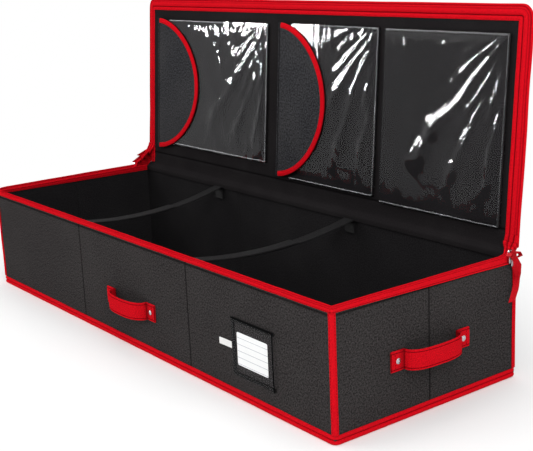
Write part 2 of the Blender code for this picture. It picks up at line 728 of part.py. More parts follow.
def make_lid(hinge):
    """Lid panel with its hinge tape, its red binding and the lid's half of the zip tape."""
    low, high = LID_UNDER, LID_UNDER + LID_THICK
    path = three_sided_path(PANEL_HALF, -PANEL_REACH, -LID_PANEL_START, LID_PANEL_RADIUS, 3)
    outline = [(p[0], p[1]) for p in path]
    prism("lid_panel", outline, low, high, FABRIC_BLACK, parent=hinge)
    front, back = -LID_PANEL_START + GAP, -LID_TAPE_START
    tape_high = low + LID_TAPE_THICK
    corners = ((-PANEL_HALF, front, low), (PANEL_HALF, back, tape_high))
    block("lid_hinge_tape", *corners, FABRIC_BLACK, hinge)

    proud = LID_BINDING_PROUD
    soft = proud
    width = LID_BINDING_WIDTH
    binding = [
        (GAP, low - proud + soft),
        (GAP + soft, low - proud),
        (GAP + width - soft, low - proud),
        (GAP + width, low - proud + soft),
        (GAP + width, high + proud - soft),
        (GAP + width - soft, high + proud),
        (GAP + soft, high + proud),
        (GAP, high + proud - soft),
    ]
    path = three_sided_path(PANEL_HALF, -PANEL_REACH, -LID_BORDER_START, LID_PANEL_RADIUS, 4)
    sweep("lid_binding", path, binding, False, BINDING_RED, hinge, True)

    start = width + 2 * GAP
    end = start + LID_ZIP_WIDTH
    roll_share = 0.3
    roll = LID_ZIP_WIDTH * roll_share
    tape = [
        (start, low),
        (end, low),
        (end, low + LID_ZIP_ROLL),
        (end - roll, low + LID_ZIP_ROLL),
        (end - roll - GAP, low + LID_ZIP_THICK),
        (start, low + LID_ZIP_THICK),
    ]
    path = three_sided_path(PANEL_HALF, -PANEL_REACH, -LID_BORDER_START, LID_PANEL_RADIUS, 6)
    sweep("lid_zip_tape", path, tape, False, BINDING_RED, hinge)


def on_panel(shares):
    """Turn shares of the lid panel into lengths: two along its half length, two along its reach."""
    first, second, low, high = shares
    return first * PANEL_HALF, second * PANEL_HALF, low * PANEL_REACH, high * PANEL_REACH


def make_pocket(name, place_shares, hinge):
    """Clear pocket of the lid: a three-sided fabric edge and the sheet on it, open at the left."""
    left, right, low, high = on_panel(place_shares)
    top = LID_UNDER - GAP
    under = top - POCKET_DEPTH
    bar = POCKET_BAR
    edge = [
        (left, -low),
        (right, -low),
        (right, -high),
        (left, -high),
        (left, -high + bar),
        (right - bar, -high + bar),
        (right - bar, -low - bar),
        (left, -low - bar),
    ]
    prism("pocket_edge_" + name, edge, under, top, LINING_BLACK, parent=hinge)
    sheet = under - GAP
    corner = (left, -high, sheet - WINDOW_THICK)
    block("pocket_window_" + name, corner, (right, -low, sheet), CLEAR_SHEET, hinge)
    return sheet - WINDOW_THICK


def flap_arc(reach, half_high, extra):
    """Return the curved edge of a flap, grown outwards by an extra width, in flap coordinates."""
    points = []
    for i in range(ARC_STEPS + 1):
        angle = math.pi * (0.5 - i / ARC_STEPS)
        x = (reach + extra) * math.cos(angle)
        y = (half_high + extra) * math.sin(angle)
        points.append((max(x, 0.0), y))
    return points


def make_flap(name, place_shares, window, hinge):
    """Curved fabric flap with a red bound edge, hinged along its straight left edge."""
    x, reach, low, high = on_panel(place_shares)
    flap_top = window - GAP
    binding_drop = FLAP_BINDING_THICK - FLAP_THICK
    pivot_z = flap_top - FLAP_THICK - binding_drop
    pivot = bpy.data.objects.new("flap_%s_hinge" % name, None)
    pivot.parent = hinge
    pivot.location = (x, -(low + high) / 2, pivot_z)
    bpy.context.collection.objects.link(pivot)
    half_high = (high - low) / 2 - FLAP_BINDING_WIDTH - GAP
    inner_reach = reach - FLAP_BINDING_WIDTH - GAP
    panel = flap_arc(inner_reach, half_high, 0.0)
    flap_low = binding_drop / 2
    prism("flap_" + name, panel, flap_low, flap_low + FLAP_THICK, FLAP_GREY, parent=pivot)
    inner = flap_arc(inner_reach, half_high, GAP)
    outer = flap_arc(inner_reach, half_high, GAP + FLAP_BINDING_WIDTH)
    ring = outer + list(reversed(inner))
    prism("flap_binding_" + name, ring, 0.0, FLAP_BINDING_THICK, BINDING_RED, parent=pivot)
    top = LID_UNDER - GAP
    corner = (x - GAP - FLAP_ANCHOR_WIDTH, -high, pivot_z)
    block("flap_anchor_" + name, corner, (x - GAP, -low, top), FLAP_GREY, hinge)


def main():
    """Build the whole organizer."""
    clear_scene()
    make_base()
    walls = make_walls()
    make_box_bindings()
    pocket = make_outer_pocket()
    quarter = math.radians(90.0)
    end_height = END_HANDLE_HEIGHT_SHARE * RIM_HEIGHT
    front = (0.0, -HALF_DEPTH, FRONT_HANDLE_HEIGHT_SHARE * RIM_HEIGHT)
    right = (HALF_LENGTH, 0.0, end_height)
    left = (-HALF_LENGTH - OUTER_POCKET_BULGE, 0.0, end_height)
    make_handle("front_handle", walls["front_wall"], front, 0.0, WALL)
    make_handle("right_handle", walls["right_wall"], right, quarter, WALL)
    make_handle("left_handle", pocket, left, -quarter, POCKET_SHEET)
    make_label()
    make_straps()
    make_zip_pulls()
    hinge = make_hinge()
    make_lid(hinge)
    window = make_pocket("left", LEFT_POCKET_SHARES, hinge)
    make_pocket("middle", MIDDLE_POCKET_SHARES, hinge)
    make_pocket("right", RIGHT_POCKET_SHARES, hinge)
    make_flap("left", LEFT_FLAP_SHARES, window, hinge)
    make_flap("middle", MIDDLE_FLAP_SHARES, window, hinge)


main()
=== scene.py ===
"""Gift wrap organizer, dressed: sewn cloth, bindings, zips, clear pockets and straps.

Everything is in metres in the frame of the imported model. The box sits on z = 0, +X runs along its
length and the lid is hinged at the back, +Y. Pieces of the lid are laid out as on a closed lid,
x along, u from the hinge and z out of the box, and are turned open by one matrix.
"""

import logging
import math
from dataclasses import dataclass, field
from enum import Enum
from typing import Callable, Sequence

import bmesh
import bpy
from bpy.types import Material, Node, NodeSocket, NodeTree, Object
from mathutils import Matrix, Vector, noise


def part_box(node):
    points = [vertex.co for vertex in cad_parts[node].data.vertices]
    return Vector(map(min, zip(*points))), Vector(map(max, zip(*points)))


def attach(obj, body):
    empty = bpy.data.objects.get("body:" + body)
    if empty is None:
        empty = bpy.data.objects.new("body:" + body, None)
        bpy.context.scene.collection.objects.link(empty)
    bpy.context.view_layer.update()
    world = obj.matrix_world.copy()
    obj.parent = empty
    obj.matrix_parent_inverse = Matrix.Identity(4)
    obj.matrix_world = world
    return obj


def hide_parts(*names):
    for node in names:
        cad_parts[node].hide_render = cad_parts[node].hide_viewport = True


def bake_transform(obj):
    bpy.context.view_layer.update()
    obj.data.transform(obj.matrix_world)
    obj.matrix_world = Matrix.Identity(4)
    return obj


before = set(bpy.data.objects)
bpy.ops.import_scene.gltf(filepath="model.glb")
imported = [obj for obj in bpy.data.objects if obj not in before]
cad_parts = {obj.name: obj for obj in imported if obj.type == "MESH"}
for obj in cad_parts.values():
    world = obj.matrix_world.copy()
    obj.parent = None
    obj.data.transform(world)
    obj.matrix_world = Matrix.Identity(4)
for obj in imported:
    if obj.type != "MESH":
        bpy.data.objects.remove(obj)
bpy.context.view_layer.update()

LOG = logging.getLogger("organizer")
MM = 0.001
CLOTH_SEED = 5
RIGHT, BACK, UP = Vector((1, 0, 0)), Vector((0, 1, 0)), Vector((0, 0, 1))
Point2 = tuple[float, float]
Placer = Callable[[float, float, float], Vector]
Rise = Callable[[float, float], float]
Rows = Sequence[Sequence[Vector]]
Triple = tuple[float, float, float]


def paint(red: float, green: float, blue: float) -> tuple[float, float, float, float]:
    """Turn a swatch's 0 to 255 values into a linear colour.

    Args:
        red: Red value.
        green: Green value.
        blue: Blue value.

    Returns:
        The colour as Blender's shaders take it.
    """
    shades = []
    for value in (red, green, blue):
        share = value / 255
        shades.append(share / 12.92 if share <= 0.04045 else ((share + 0.055) / 1.055) ** 2.4)
    return (*shades, 1.0)


def ripple(x: float, y: float, seed: float) -> float:
    """Return smooth noise from -1 to 1 at a place on a cloth."""
    return noise.noise(Vector((x, y, seed)))


def uneven(point: Vector, size: float, amount: float) -> Vector:
    """Shift a point a little, the way hand-fed cloth wanders.

    Args:
        point: Point at rest.
        size: Length over which the shift changes.
        amount: Largest shift.

    Returns:
        The shifted point.
    """
    return point + noise.noise_vector(point / size) * amount


def steps(start: float, stop: float, step: float, fine: Sequence[float] = ()) -> list[float]:
    """Divide a length evenly, with close extra cuts beside its seams.

    Args:
        start: First place.
        stop: Last place.
        step: Largest distance between two places.
        fine: Places of seams.

    Returns:
        The places in rising order.
    """
    count = max(1, math.ceil((stop - start) / step))
    places = {round(start + (stop - start) * i / count, 6) for i in range(count + 1)}
    for seam in fine:
        for offset in (-7, -4.5, -3, -2, -1.2, -0.5, 0.5, 1.2, 2, 3, 4.5, 7):
            place = round(seam + offset * MM, 6)
            if start < place < stop:
                places.add(place)
    return sorted(places)


class Wiring:
    """Adds nodes to one tree and joins their sockets."""

    def __init__(self, tree: NodeTree) -> None:
        """Remember the tree."""
        self.tree = tree

    def add(self, kind: str, feeds: dict[str | int, object] | None = None, **settings: object) -> Node:
        """Add a node, set its own options and feed its inputs.

        Args:
            kind: Blender's name of its kind.
            feeds: Values or sockets for its inputs.
            settings: Its own options.

        Returns:
            The node.
        """
        node = self.tree.nodes.new(kind)
        for key, value in settings.items():
            setattr(node, key, value)
        self.fill(node, feeds or {})
        return node

    def fill(self, node: Node, feeds: dict[str | int, object]) -> None:
        """Feed a node's inputs, by their names or numbers."""
        for key, value in feeds.items():
            self.feed(node.inputs[key], value)

    def feed(self, socket: NodeSocket, value: object) -> None:
        """Give a socket a value, or join another socket to it.

        Args:
            socket: The input.
            value: A value or an output.
        """
        if isinstance(value, NodeSocket):
            self.tree.links.new(value, socket)
        else:
            socket.default_value = value

    def calc(self, operation: str, *values: object) -> NodeSocket:
        """Add a sum on numbers.

        Args:
            operation: Name of the sum.
            values: Numbers or sockets that it takes.

        Returns:
            The socket with the result.
        """
        node = self.add("ShaderNodeMath", operation=operation)
        for socket, value in zip(node.inputs, values):
            self.feed(socket, value)
        return node.outputs[0]

    def vector(
        self, operation: str, first: object, second: object = None, scale: object = None
    ) -> NodeSocket:
        """Add a sum on vectors.

        Args:
            operation: Name of the sum.
            first: First vector or socket.
            second: Second vector or socket.
            scale: Number or socket that scales the first.

        Returns:
            The socket with the result.
        """
        node = self.add("ShaderNodeVectorMath", operation=operation)
        self.feed(node.inputs[0], first)
        if second is not None:
            self.feed(node.inputs[1], second)
        if scale is not None:
            self.feed(node.inputs["Scale"], scale)
        return node.outputs[0]

    def cloud(self, place: object, scale: float, detail: float = 3.0, rough: float = 0.55) -> NodeSocket:
        """Add cloudy noise.

        Args:
            place: Where it is asked for.
            scale: Scale per metre.
            detail: Number of finer layers.
            rough: Weight of the finer layers.

        Returns:
            The socket with its value.
        """
        feeds = {"Vector": place, "Scale": scale, "Detail": detail, "Roughness": rough}
        return self.add("ShaderNodeTexNoise", feeds).outputs[0]

    def between(self, value: object, low: float, high: float) -> NodeSocket:
        """Stretch the values from low to high to 0 to 1 and cut off the rest."""
        return self.add("ShaderNodeMapRange", {"Value": value, "From Min": low, "From Max": high}).outputs[0]

    def blend(self, share: object, first: object, second: object) -> NodeSocket:
        """Mix two colours; the share is the second one's."""
        return self.add("ShaderNodeMix", {0: share, 6: first, 7: second}, data_type="RGBA").outputs[2]

    def mix(self, share: object, first: Node, second: Node) -> NodeSocket:
        """Mix two shaders; the share is the second one's."""
        return self.add("ShaderNodeMixShader", {0: share, 1: first.outputs[0], 2: second.outputs[0]}).outputs[0]

    def relief(self, shader: Node, height: object, depth: float, strength: float = 1.0) -> None:
        """Give a shader relief.

        Args:
            shader: The shader.
            height: Height from 0 to 1.
            depth: What the height 1 measures.
            strength: Share of the relief that shows.
        """
        bump = self.add("ShaderNodeBump", {"Strength": strength, "Distance": depth, "Height": height})
        self.feed(shader.inputs["Normal"], bump.outputs[0])

    def seen(self) -> NodeSocket:
        """Tell rays that show a thing to the camera, also by a mirror or through film.

        Returns:
            The socket with 1 for such rays and 0 for others.
        """
        rays = self.add("ShaderNodeLightPath").outputs
        direct = self.calc("MAXIMUM", rays["Is Camera Ray"], rays["Is Glossy Ray"])
        return self.calc("MAXIMUM", direct, rays["Is Transmission Ray"])


def open_group(
    name: str, kind: str, inputs: dict[str, tuple[str, object]], outputs: dict[str, str]
) -> NodeTree:
    """Make a node group with named inputs and outputs.

    Args:
        name: Name of the group.
        kind: Kind of node tree.
        inputs: Socket kind and first value of each input.
        outputs: Socket kind of each output.

    Returns:
        The empty group.
    """
    tree = bpy.data.node_groups.new(name, kind)
    for label, (socket_kind, value) in inputs.items():
        socket = tree.interface.new_socket(name=label, in_out="INPUT", socket_type=socket_kind)
        if value is not None:
            socket.default_value = value
    for label, socket_kind in outputs.items():
        tree.interface.new_socket(name=label, in_out="OUTPUT", socket_type=socket_kind)
    return tree


def weave_group() -> NodeTree:
    """Build the group that draws plain-woven threads from a cloth coordinate in metres.

    Returns:
        A group whose outputs are the threads' height and a shade that changes from thread to thread.
    """
    inputs = {
        "Cloth": ("NodeSocketVector", None),
        "Pitch": ("NodeSocketFloat", 0.002),
        "Waver": ("NodeSocketFloat", 0.4),
    }
    outputs = {"Height": "NodeSocketFloat", "Shade": "NodeSocketFloat"}
    tree = open_group("plain weave", "ShaderNodeTree", inputs, outputs)
    w = Wiring(tree)
    get, give = w.add("NodeGroupInput"), w.add("NodeGroupOutput")
    cloth, pitch, waver = get.outputs["Cloth"], get.outputs["Pitch"], get.outputs["Waver"]
    turns = w.calc("DIVIDE", 1.0, pitch)
    threads = w.vector("SCALE", cloth, scale=turns)
    drift = w.add("ShaderNodeTexNoise", {"Vector": threads, "Scale": 0.31, "Detail": 2.0})
    away = w.vector("SUBTRACT", drift.outputs["Color"], (0.5, 0.5, 0.5))
    threads = w.vector("ADD", threads, w.vector("SCALE", away, scale=waver))
    split = w.add("ShaderNodeSeparateXYZ", {0: threads})
    across, down = split.outputs[0], split.outputs[1]
    warp = w.calc("ABSOLUTE", w.calc("SINE", w.calc("MULTIPLY", across, math.pi)))
    weft = w.calc("ABSOLUTE", w.calc("SINE", w.calc("MULTIPLY", down, math.pi)))
    squares = w.calc("ADD", w.calc("FLOOR", across), w.calc("FLOOR", down))
    turn = w.calc("FLOORED_MODULO", squares, 2.0)
    over = w.calc("MULTIPLY", warp, w.calc("MULTIPLY_ADD", weft, 0.5, 0.5))
    under = w.calc("MULTIPLY", weft, w.calc("MULTIPLY_ADD", warp, 0.5, 0.5))
    rest = w.calc("SUBTRACT", 1.0, turn)
    height = w.calc("ADD", w.calc("MULTIPLY", over, rest), w.calc("MULTIPLY", under, turn))
    shade = w.cloud(threads, 0.66, 2.0, 0.75)
    height = w.calc("MULTIPLY_ADD", shade, 1.6, height)
    w.fill(give, {"Height": height, "Shade": shade})
    return tree


def rib_group() -> NodeTree:
    """Build the group that draws the fine cross ribs of tape and webbing.

    Returns:
        A group whose outputs are the ribs' height and a slow shade along the tape.
    """
    inputs = {
        "Cloth": ("NodeSocketVector", None),
        "Pitch": ("NodeSocketFloat", 0.001),
        "Cross": ("NodeSocketFloat", 0.5),
    }
    outputs = {"Height": "NodeSocketFloat", "Shade": "NodeSocketFloat"}
    tree = open_group("tape ribs", "ShaderNodeTree", inputs, outputs)
    w = Wiring(tree)
    get, give = w.add("NodeGroupInput"), w.add("NodeGroupOutput")
    threads = w.vector("SCALE", get.outputs["Cloth"], scale=w.calc("DIVIDE", math.pi, get.outputs["Pitch"]))
    split = w.add("ShaderNodeSeparateXYZ", {0: threads})
    ribs = w.calc("ABSOLUTE", w.calc("SINE", split.outputs[0]))
    lines = w.calc("ABSOLUTE", w.calc("SINE", w.calc("MULTIPLY", split.outputs[1], 0.7)))
    height = w.calc("ADD", ribs, w.calc("MULTIPLY", lines, get.outputs["Cross"]))
    w.fill(give, {"Height": height, "Shade": w.cloud(threads, 0.11, 3.0, 0.7)})
    return tree


def lint_group() -> NodeTree:
    """Build the group that scatters lint and faint handling marks over a cloth.

    Returns:
        A group whose output is a mask, 1 where lint lies.
    """
    inputs = {
        "Place": ("NodeSocketVector", None),
        "Amount": ("NodeSocketFloat", 0.5),
    }
    tree = open_group("lint", "ShaderNodeTree", inputs, {"Mask": "NodeSocketFloat"})
    w = Wiring(tree)
    get, give = w.add("NodeGroupInput"), w.add("NodeGroupOutput")
    place = get.outputs["Place"]
    specks = w.between(w.cloud(place, 420.0, 2.0, 0.8), 0.66, 0.8)
    handled = w.between(w.cloud(place, 9.0, 4.0, 0.6), 0.42, 0.75)
    both = w.calc("MULTIPLY_ADD", handled, 0.45, specks)
    w.feed(give.inputs["Mask"], w.calc("MULTIPLY", both, get.outputs["Amount"]))
    return tree


class Pattern(Enum):
    """Which thread pattern a cloth has."""

    WEAVE = "plain weave"
    RIBS = "tape ribs"


class Slot(Enum):
    """The record's material slots."""

    FABRIC = "fabric_black"
    LINING = "lining_black"
    FLAP = "flap_grey"
    RED = "binding_red"
    STRAP = "strap_black"
    CLEAR = "clear_sheet"
    CARD = "card_white"
    METAL = "zip_metal"


@dataclass(frozen=True)
class ClothFinish:
    """A woven or ribbed cloth: its colours, thread pitch, relief, gloss and nap, and shade painted into its folds."""

    name: str
    colour: Triple
    lint: Triple
    pattern: Pattern = Pattern.WEAVE
    pitch: float = 1.9 * MM
    relief: float = 0.35 * MM
    contrast: float = 0.5
    dust: float = 0.3
    roughness: tuple[float, float] = (0.62, 0.85)
    sheen: float = 0.008
    gloss: float = 0.0

    def material(self, groups: dict[str, NodeTree]) -> Material:
        """Build the material.

        Args:
            groups: Shared shader groups by name.

        Returns:
            The material.
        """
        made, w, shader, _ = start_material(self.name)
        cloth = w.add("ShaderNodeUVMap", uv_map="cloth").outputs[0]
        feeds = {"Cloth": cloth, "Pitch": self.pitch}
        threads = w.add("ShaderNodeGroup", feeds, node_tree=groups[self.pattern.value])
        height, shade = threads.outputs["Height"], threads.outputs["Shade"]
        feeds = {"Place": w.add("ShaderNodeTexCoord").outputs["Object"], "Amount": self.dust}
        lint = w.add("ShaderNodeGroup", feeds, node_tree=groups["lint"])
        low = tuple(c * (1 - self.contrast) for c in self.colour)
        high = tuple(min(255.0, c * (1 + self.contrast)) for c in self.colour)
        lift = w.calc("MULTIPLY_ADD", shade, 0.6, w.calc("MULTIPLY", height, 0.3))
        base = w.blend(w.between(lift, 0.46, 0.95), paint(*low), paint(*high))
        base = w.blend(lint.outputs["Mask"], base, paint(*self.lint))
        # Painted shade: where the fold attribute marks creases, seam grooves and pleats, the colour darkens towards
        # 0.28 of its own.
        fold = w.calc("MULTIPLY", w.add("ShaderNodeAttribute", attribute_name="fold").outputs["Fac"], 0.8)
        deep = tuple(c * 0.28 for c in self.colour)
        smooth, rough = self.roughness
        w.relief(shader, height, self.relief)
        w.fill(shader, {
            "Base Color": w.blend(fold, base, paint(*deep)),
            "Roughness": w.calc("MULTIPLY_ADD", shade, rough - smooth, smooth),
            "Sheen Weight": self.sheen,
            "Sheen Roughness": 0.45,
            "Specular IOR Level": self.gloss,
        })
        return made


@dataclass(frozen=True)
class FilmFinish:
    """A clear plastic sheet: its tint, gloss and light bending."""

    name: str
    tint: Triple = (250, 252, 255)
    bending: float = 1.16

    def material(self, groups: dict[str, NodeTree]) -> Material:
        """Build the material; it lets the lamps' light through to what lies behind it.

        Args:
            groups: Shared shader groups by name; not used.

        Returns:
            The material.
        """
        made, w, shader, out = start_material(self.name)
        place = w.add("ShaderNodeTexCoord").outputs["Object"]
        colour = paint(*self.tint)
        w.fill(shader, {"Base Color": colour, "Roughness": 0.0, "IOR": self.bending, "Transmission Weight": 1.0})
        w.relief(shader, w.cloud(place, 24.0, 1.0, 0.4), 0.5 * MM, 0.2)
        rays = w.add("ShaderNodeLightPath").outputs
        lit = w.calc("MAXIMUM", rays["Is Shadow Ray"], rays["Is Diffuse Ray"])
        w.feed(out.inputs["Surface"], w.mix(lit, shader, w.add("ShaderNodeBsdfTransparent")))
        return made


@dataclass(frozen=True)
class MetalFinish:
    """A plated metal: its colour, gloss and fine scratches."""

    name: str
    colour: Triple = (186, 186, 190)
    worn: Triple = (96, 95, 94)
    roughness: float = 0.22

    def material(self, groups: dict[str, NodeTree]) -> Material:
        """Build the material.

        Args:
            groups: Shared shader groups by name; not used.

        Returns:
            The material.
        """
        made, w, shader, _ = start_material(self.name)
        place = w.add("ShaderNodeTexCoord").outputs["Object"]
        rubs = w.between(w.cloud(place, 900.0, 4.0, 0.7), 0.5, 0.8)
        w.feed(shader.inputs["Base Color"], w.blend(rubs, paint(*self.colour), paint(*self.worn)))
        w.fill(shader, {"Metallic": 1.0, "Roughness": w.calc("MULTIPLY_ADD", rubs, 0.25, self.roughness)})
        w.relief(shader, rubs, 0.05 * MM)
        return made


@dataclass(frozen=True)
class CardFinish:
    """Uncoated card: its colour, fibre and, where wanted, ruled lines."""

    name: str
    colour: Triple = (238, 237, 233)
    line: Triple = (150, 152, 160)
    line_gap: float = 0.0

    def material(self, groups: dict[str, NodeTree]) -> Material:
        """Build the material.

        Args:
            groups: Shared shader groups by name; not used.

        Returns:
            The material.
        """
        made, w, shader, _ = start_material(self.name)
        cloth = w.add("ShaderNodeUVMap", uv_map="cloth").outputs[0]
        fibre = w.cloud(cloth, 1500.0, 4.0, 0.7)
        dull = tuple(c * 0.93 for c in self.colour)
        base = w.blend(fibre, paint(*self.colour), paint(*dull))
        if self.line_gap:
            across = w.add("ShaderNodeSeparateXYZ", {0: cloth}).outputs[1]
            place = w.calc("FRACT", w.calc("DIVIDE", across, self.line_gap))
            ruled = w.calc("LESS_THAN", w.calc("ABSOLUTE", w.calc("SUBTRACT", place, 0.5)), 0.035)
            base = w.blend(ruled, base, paint(*self.line))
        w.fill(shader, {"Base Color": base, "Roughness": w.calc("MULTIPLY_ADD", fibre, 0.2, 0.55)})
        w.relief(shader, fibre, 0.05 * MM)
        return made


Finish = ClothFinish | FilmFinish | MetalFinish | CardFinish


def start_material(name: str) -> tuple[Material, Wiring, Node, Node]:
    """Start a node material with its shader joined to the output.

    Args:
        name: Name of the material.

    Returns:
        The material, its wiring, its shader and its output node.
    """
    made = bpy.data.materials.new(name)
    made.use_nodes = True
    made.node_tree.nodes.clear()
    w = Wiring(made.node_tree)
    shader, out = w.add("ShaderNodeBsdfPrincipled"), w.add("ShaderNodeOutputMaterial")
    w.feed(out.inputs["Surface"], shader.outputs[0])
    return made, w, shader, out


WALL_CLOTH = ClothFinish(
    "wall cloth", (42, 40, 40), (112, 110, 108), pitch=1.6 * MM, contrast=0.85, relief=0.5 * MM, dust=0.12
)
LINING_CLOTH = ClothFinish(
    "lining cloth", (31, 30, 31), (96, 94, 94), pitch=1.4 * MM, relief=0.2 * MM, dust=0.10
)
LID_CLOTH = ClothFinish(
    "lid lining cloth", (31, 29, 30), (104, 102, 101), pitch=1.5 * MM, relief=0.1 * MM, contrast=0.2, dust=0.10
)
FLAP_CLOTH = ClothFinish("flap cloth", (42, 42, 44), (125, 122, 120), pitch=2.0 * MM, contrast=0.75, dust=0.15)
RED_TAPE = ClothFinish(
    "red binding", (214, 15, 29), (236, 96, 96), Pattern.RIBS, 1.1 * MM, 0.10 * MM, 0.16, 0.04, (0.42, 0.62)
)
RED_CLOTH = ClothFinish(
    "red handle cloth", (190, 14, 26), (226, 80, 80), Pattern.WEAVE, 1.1 * MM, 0.14 * MM, 0.22, 0.04, (0.5, 0.7)
)
RED_COIL = ClothFinish(
    "red zip coil", (186, 12, 25), (205, 50, 55), Pattern.RIBS, 0.9 * MM, 0.05 * MM, 0.2, 0.02, (0.7, 0.9), 0.0, 0.0
)
RED_SATIN = ClothFinish(
    "red ribbon satin", (203, 14, 28), (225, 60, 60), Pattern.RIBS, 0.5 * MM, 0.05 * MM, 0.30, 0.0, (0.4, 0.55),
    0.01, 0.05,
)
BLACK_WEB = ClothFinish(
    "black webbing", (31, 30, 31), (90, 90, 90), Pattern.RIBS, 1.5 * MM, 0.25 * MM, 0.5, 0.10, (0.5, 0.8), 0.01, 0.01
)
BLACK_PIPING = ClothFinish(
    "black piping", (22, 21, 22), (90, 90, 90), Pattern.RIBS, 1.0 * MM, 0.06 * MM, 0.3, 0.03, (0.18, 0.34), 0.0, 0.16
)
# Near-black strips on the label window's top and open edges: painted shadow of the gap under the film's edge.
LABEL_SHADOW_EDGE = ClothFinish(
    "label shadow edge", (15, 15, 16), (60, 60, 60), Pattern.RIBS, 1.0 * MM, 0.06 * MM, 0.3, 0.02, (0.4, 0.6)
)
LABEL_TAPE = ClothFinish(
    "label tape", (38, 37, 37), (104, 102, 101), Pattern.RIBS, 1.0 * MM, 0.06 * MM, 0.3, 0.06, (0.5, 0.7)
)
BLACK_THREAD = ClothFinish(
    "black thread", (24, 24, 25), (70, 70, 70), Pattern.RIBS, 0.6 * MM, 0.05 * MM, 0.3, 0.0, (0.4, 0.6)
)
RED_THREAD = ClothFinish(
    "red thread", (104, 6, 13), (160, 40, 40), Pattern.RIBS, 0.6 * MM, 0.05 * MM, 0.2, 0.0, (0.4, 0.6)
)
CLEAR_FILM = FilmFinish("clear pocket film")
CLEAR_LABEL_FILM = FilmFinish("clear label film", bending=1.05)
PLATED = MetalFinish("plated metal")
PLAIN_CARD = CardFinish("plain card", line_gap=10.0 * MM)
TAG_CLOTH = CardFinish("white tag cloth", (225, 224, 222))


class Palette:
    """Builds each finish once and hands out its material."""

    def __init__(self) -> None:
        """Build the shared shader groups."""
        self.groups = {"plain weave": weave_group(), "tape ribs": rib_group(), "lint": lint_group()}
        self.made: dict[str, Material] = {}

    def get(self, finish: Finish) -> Material:
        """Return a finish's material, built on first use.

        Args:
            finish: The finish.

        Returns:
            The material.
        """
        if finish.name not in self.made:
            self.made[finish.name] = finish.material(self.groups)
        return self.made[finish.name]


@dataclass
class Sketch:
    """Faces gathered in the row frame, with a cloth coordinate in metres and a depth of painted shade in folds, before
    they are one mesh.
    """

    verts: list[Vector] = field(default_factory=list)
    faces: list[tuple[int, ...]] = field(default_factory=list)
    cloth: list[tuple[Point2, ...]] = field(default_factory=list)
    tones: list[int] = field(default_factory=list)
    # Depth of painted shade at vertices that lie in creases, seam grooves and pleats.
    folds: dict[int, float] = field(default_factory=dict)

    def grid(self, rows: Rows, ring: bool = False, loop: bool = False, second: int = 0) -> int:
        """Join rows of points with faces.

        Args:
            rows: Points, row by row, all rows of one length.
            ring: Whether each row closes on itself.
            loop: Whether the last row joins the first.
            second: Place in a row from which faces take the second finish, or 0 for none.

        Returns:
            Index of the first vertex.
        """
        start, wide = len(self.verts), len(rows[0])
        along, across = [0.0], [0.0]
        middle = wide // 2
        for before, after in zip(rows, list(rows[1:]) + [rows[0]]):
            along.append(along[-1] + (after[middle] - before[middle]).length)
        for j in range(wide):
            across.append(across[-1] + (rows[0][(j + 1) % wide] - rows[0][j]).length)
        for row in rows:
            self.verts.extend(row)
        for i in range(len(rows) if loop else len(rows) - 1):
            k = (i + 1) % len(rows)
            for j in range(wide if ring else wide - 1):
                m = (j + 1) % wide
                a, b = start + i * wide, start + k * wide
                self.faces.append((a + j, a + m, b + m, b + j))
                low, high, near, far = along[i], along[i + 1], across[j], across[j + 1]
                self.cloth.append(((low, near), (low, far), (high, far), (high, near)))
                self.tones.append(1 if second and j >= second else 0)
        return start

    def cap(self, first: int, count: int) -> None:
        """Close a ring of vertices with one face.

        Args:
            first: Index of its first vertex.
            count: Number of vertices.
        """
        self.faces.append(tuple(range(first, first + count)))
        self.tones.append(0)
        centre = self.verts[first]
        flat = [self.verts[first + i] - centre for i in range(count)]
        self.cloth.append(tuple((p.x + p.y, p.z) for p in flat))

    def tube(self, rows: Rows, loop: bool = False, second: int = 0) -> None:
        """Join closed rings into a tube, with flat ends where it doesn't loop.

        Args:
            rows: The rings.
            loop: Whether the last ring joins the first.
            second: Place in a ring from which faces take the second finish, or 0 for none.
        """
        start = self.grid(rows, ring=True, loop=loop, second=second)
        if not loop:
            wide = len(rows[0])
            self.cap(start, wide)
            self.cap(start + (len(rows) - 1) * wide, wide)

    def piece(self, name: str, *looks: Material, sharp: float = 40.0) -> Object:
        """Turn the gathered faces into one object with outward faces.

        Args:
            name: Name of the piece.
            looks: Its material, and a second one where it has two.
            sharp: Angle in degrees past which an edge stays crisp.

        Returns:
            The object, at the origin.
        """
        mesh = bpy.data.meshes.new(name)
        mesh.from_pydata([tuple(v) for v in self.verts], [], self.faces)
        layer = mesh.uv_layers.new(name="cloth")
        # The fold attribute carries painted shade: the cloth finishes darken where it is set.
        folds = mesh.attributes.new("fold", "FLOAT", "POINT")
        for index, depth in self.folds.items():
            folds.data[index].value = depth
        flat = [value for face in self.cloth for corner in face for value in corner]
        layer.data.foreach_set("uv", flat)
        mesh.polygons.foreach_set("material_index", self.tones)
        bm = bmesh.new()
        bm.from_mesh(mesh)
        bmesh.ops.remove_doubles(bm, verts=bm.verts, dist=1e-6)
        bmesh.ops.recalc_face_normals(bm, faces=bm.faces)
        for face in bm.faces:
            face.smooth = True
        for edge in bm.edges:
            edge.smooth = edge.calc_face_angle(0.0) < math.radians(sharp)
        bm.to_mesh(mesh)
        bm.free()
        for look in looks:
            mesh.materials.append(look)
        made = bpy.data.objects.new(name, mesh)
        bpy.context.scene.collection.objects.link(made)
        return made


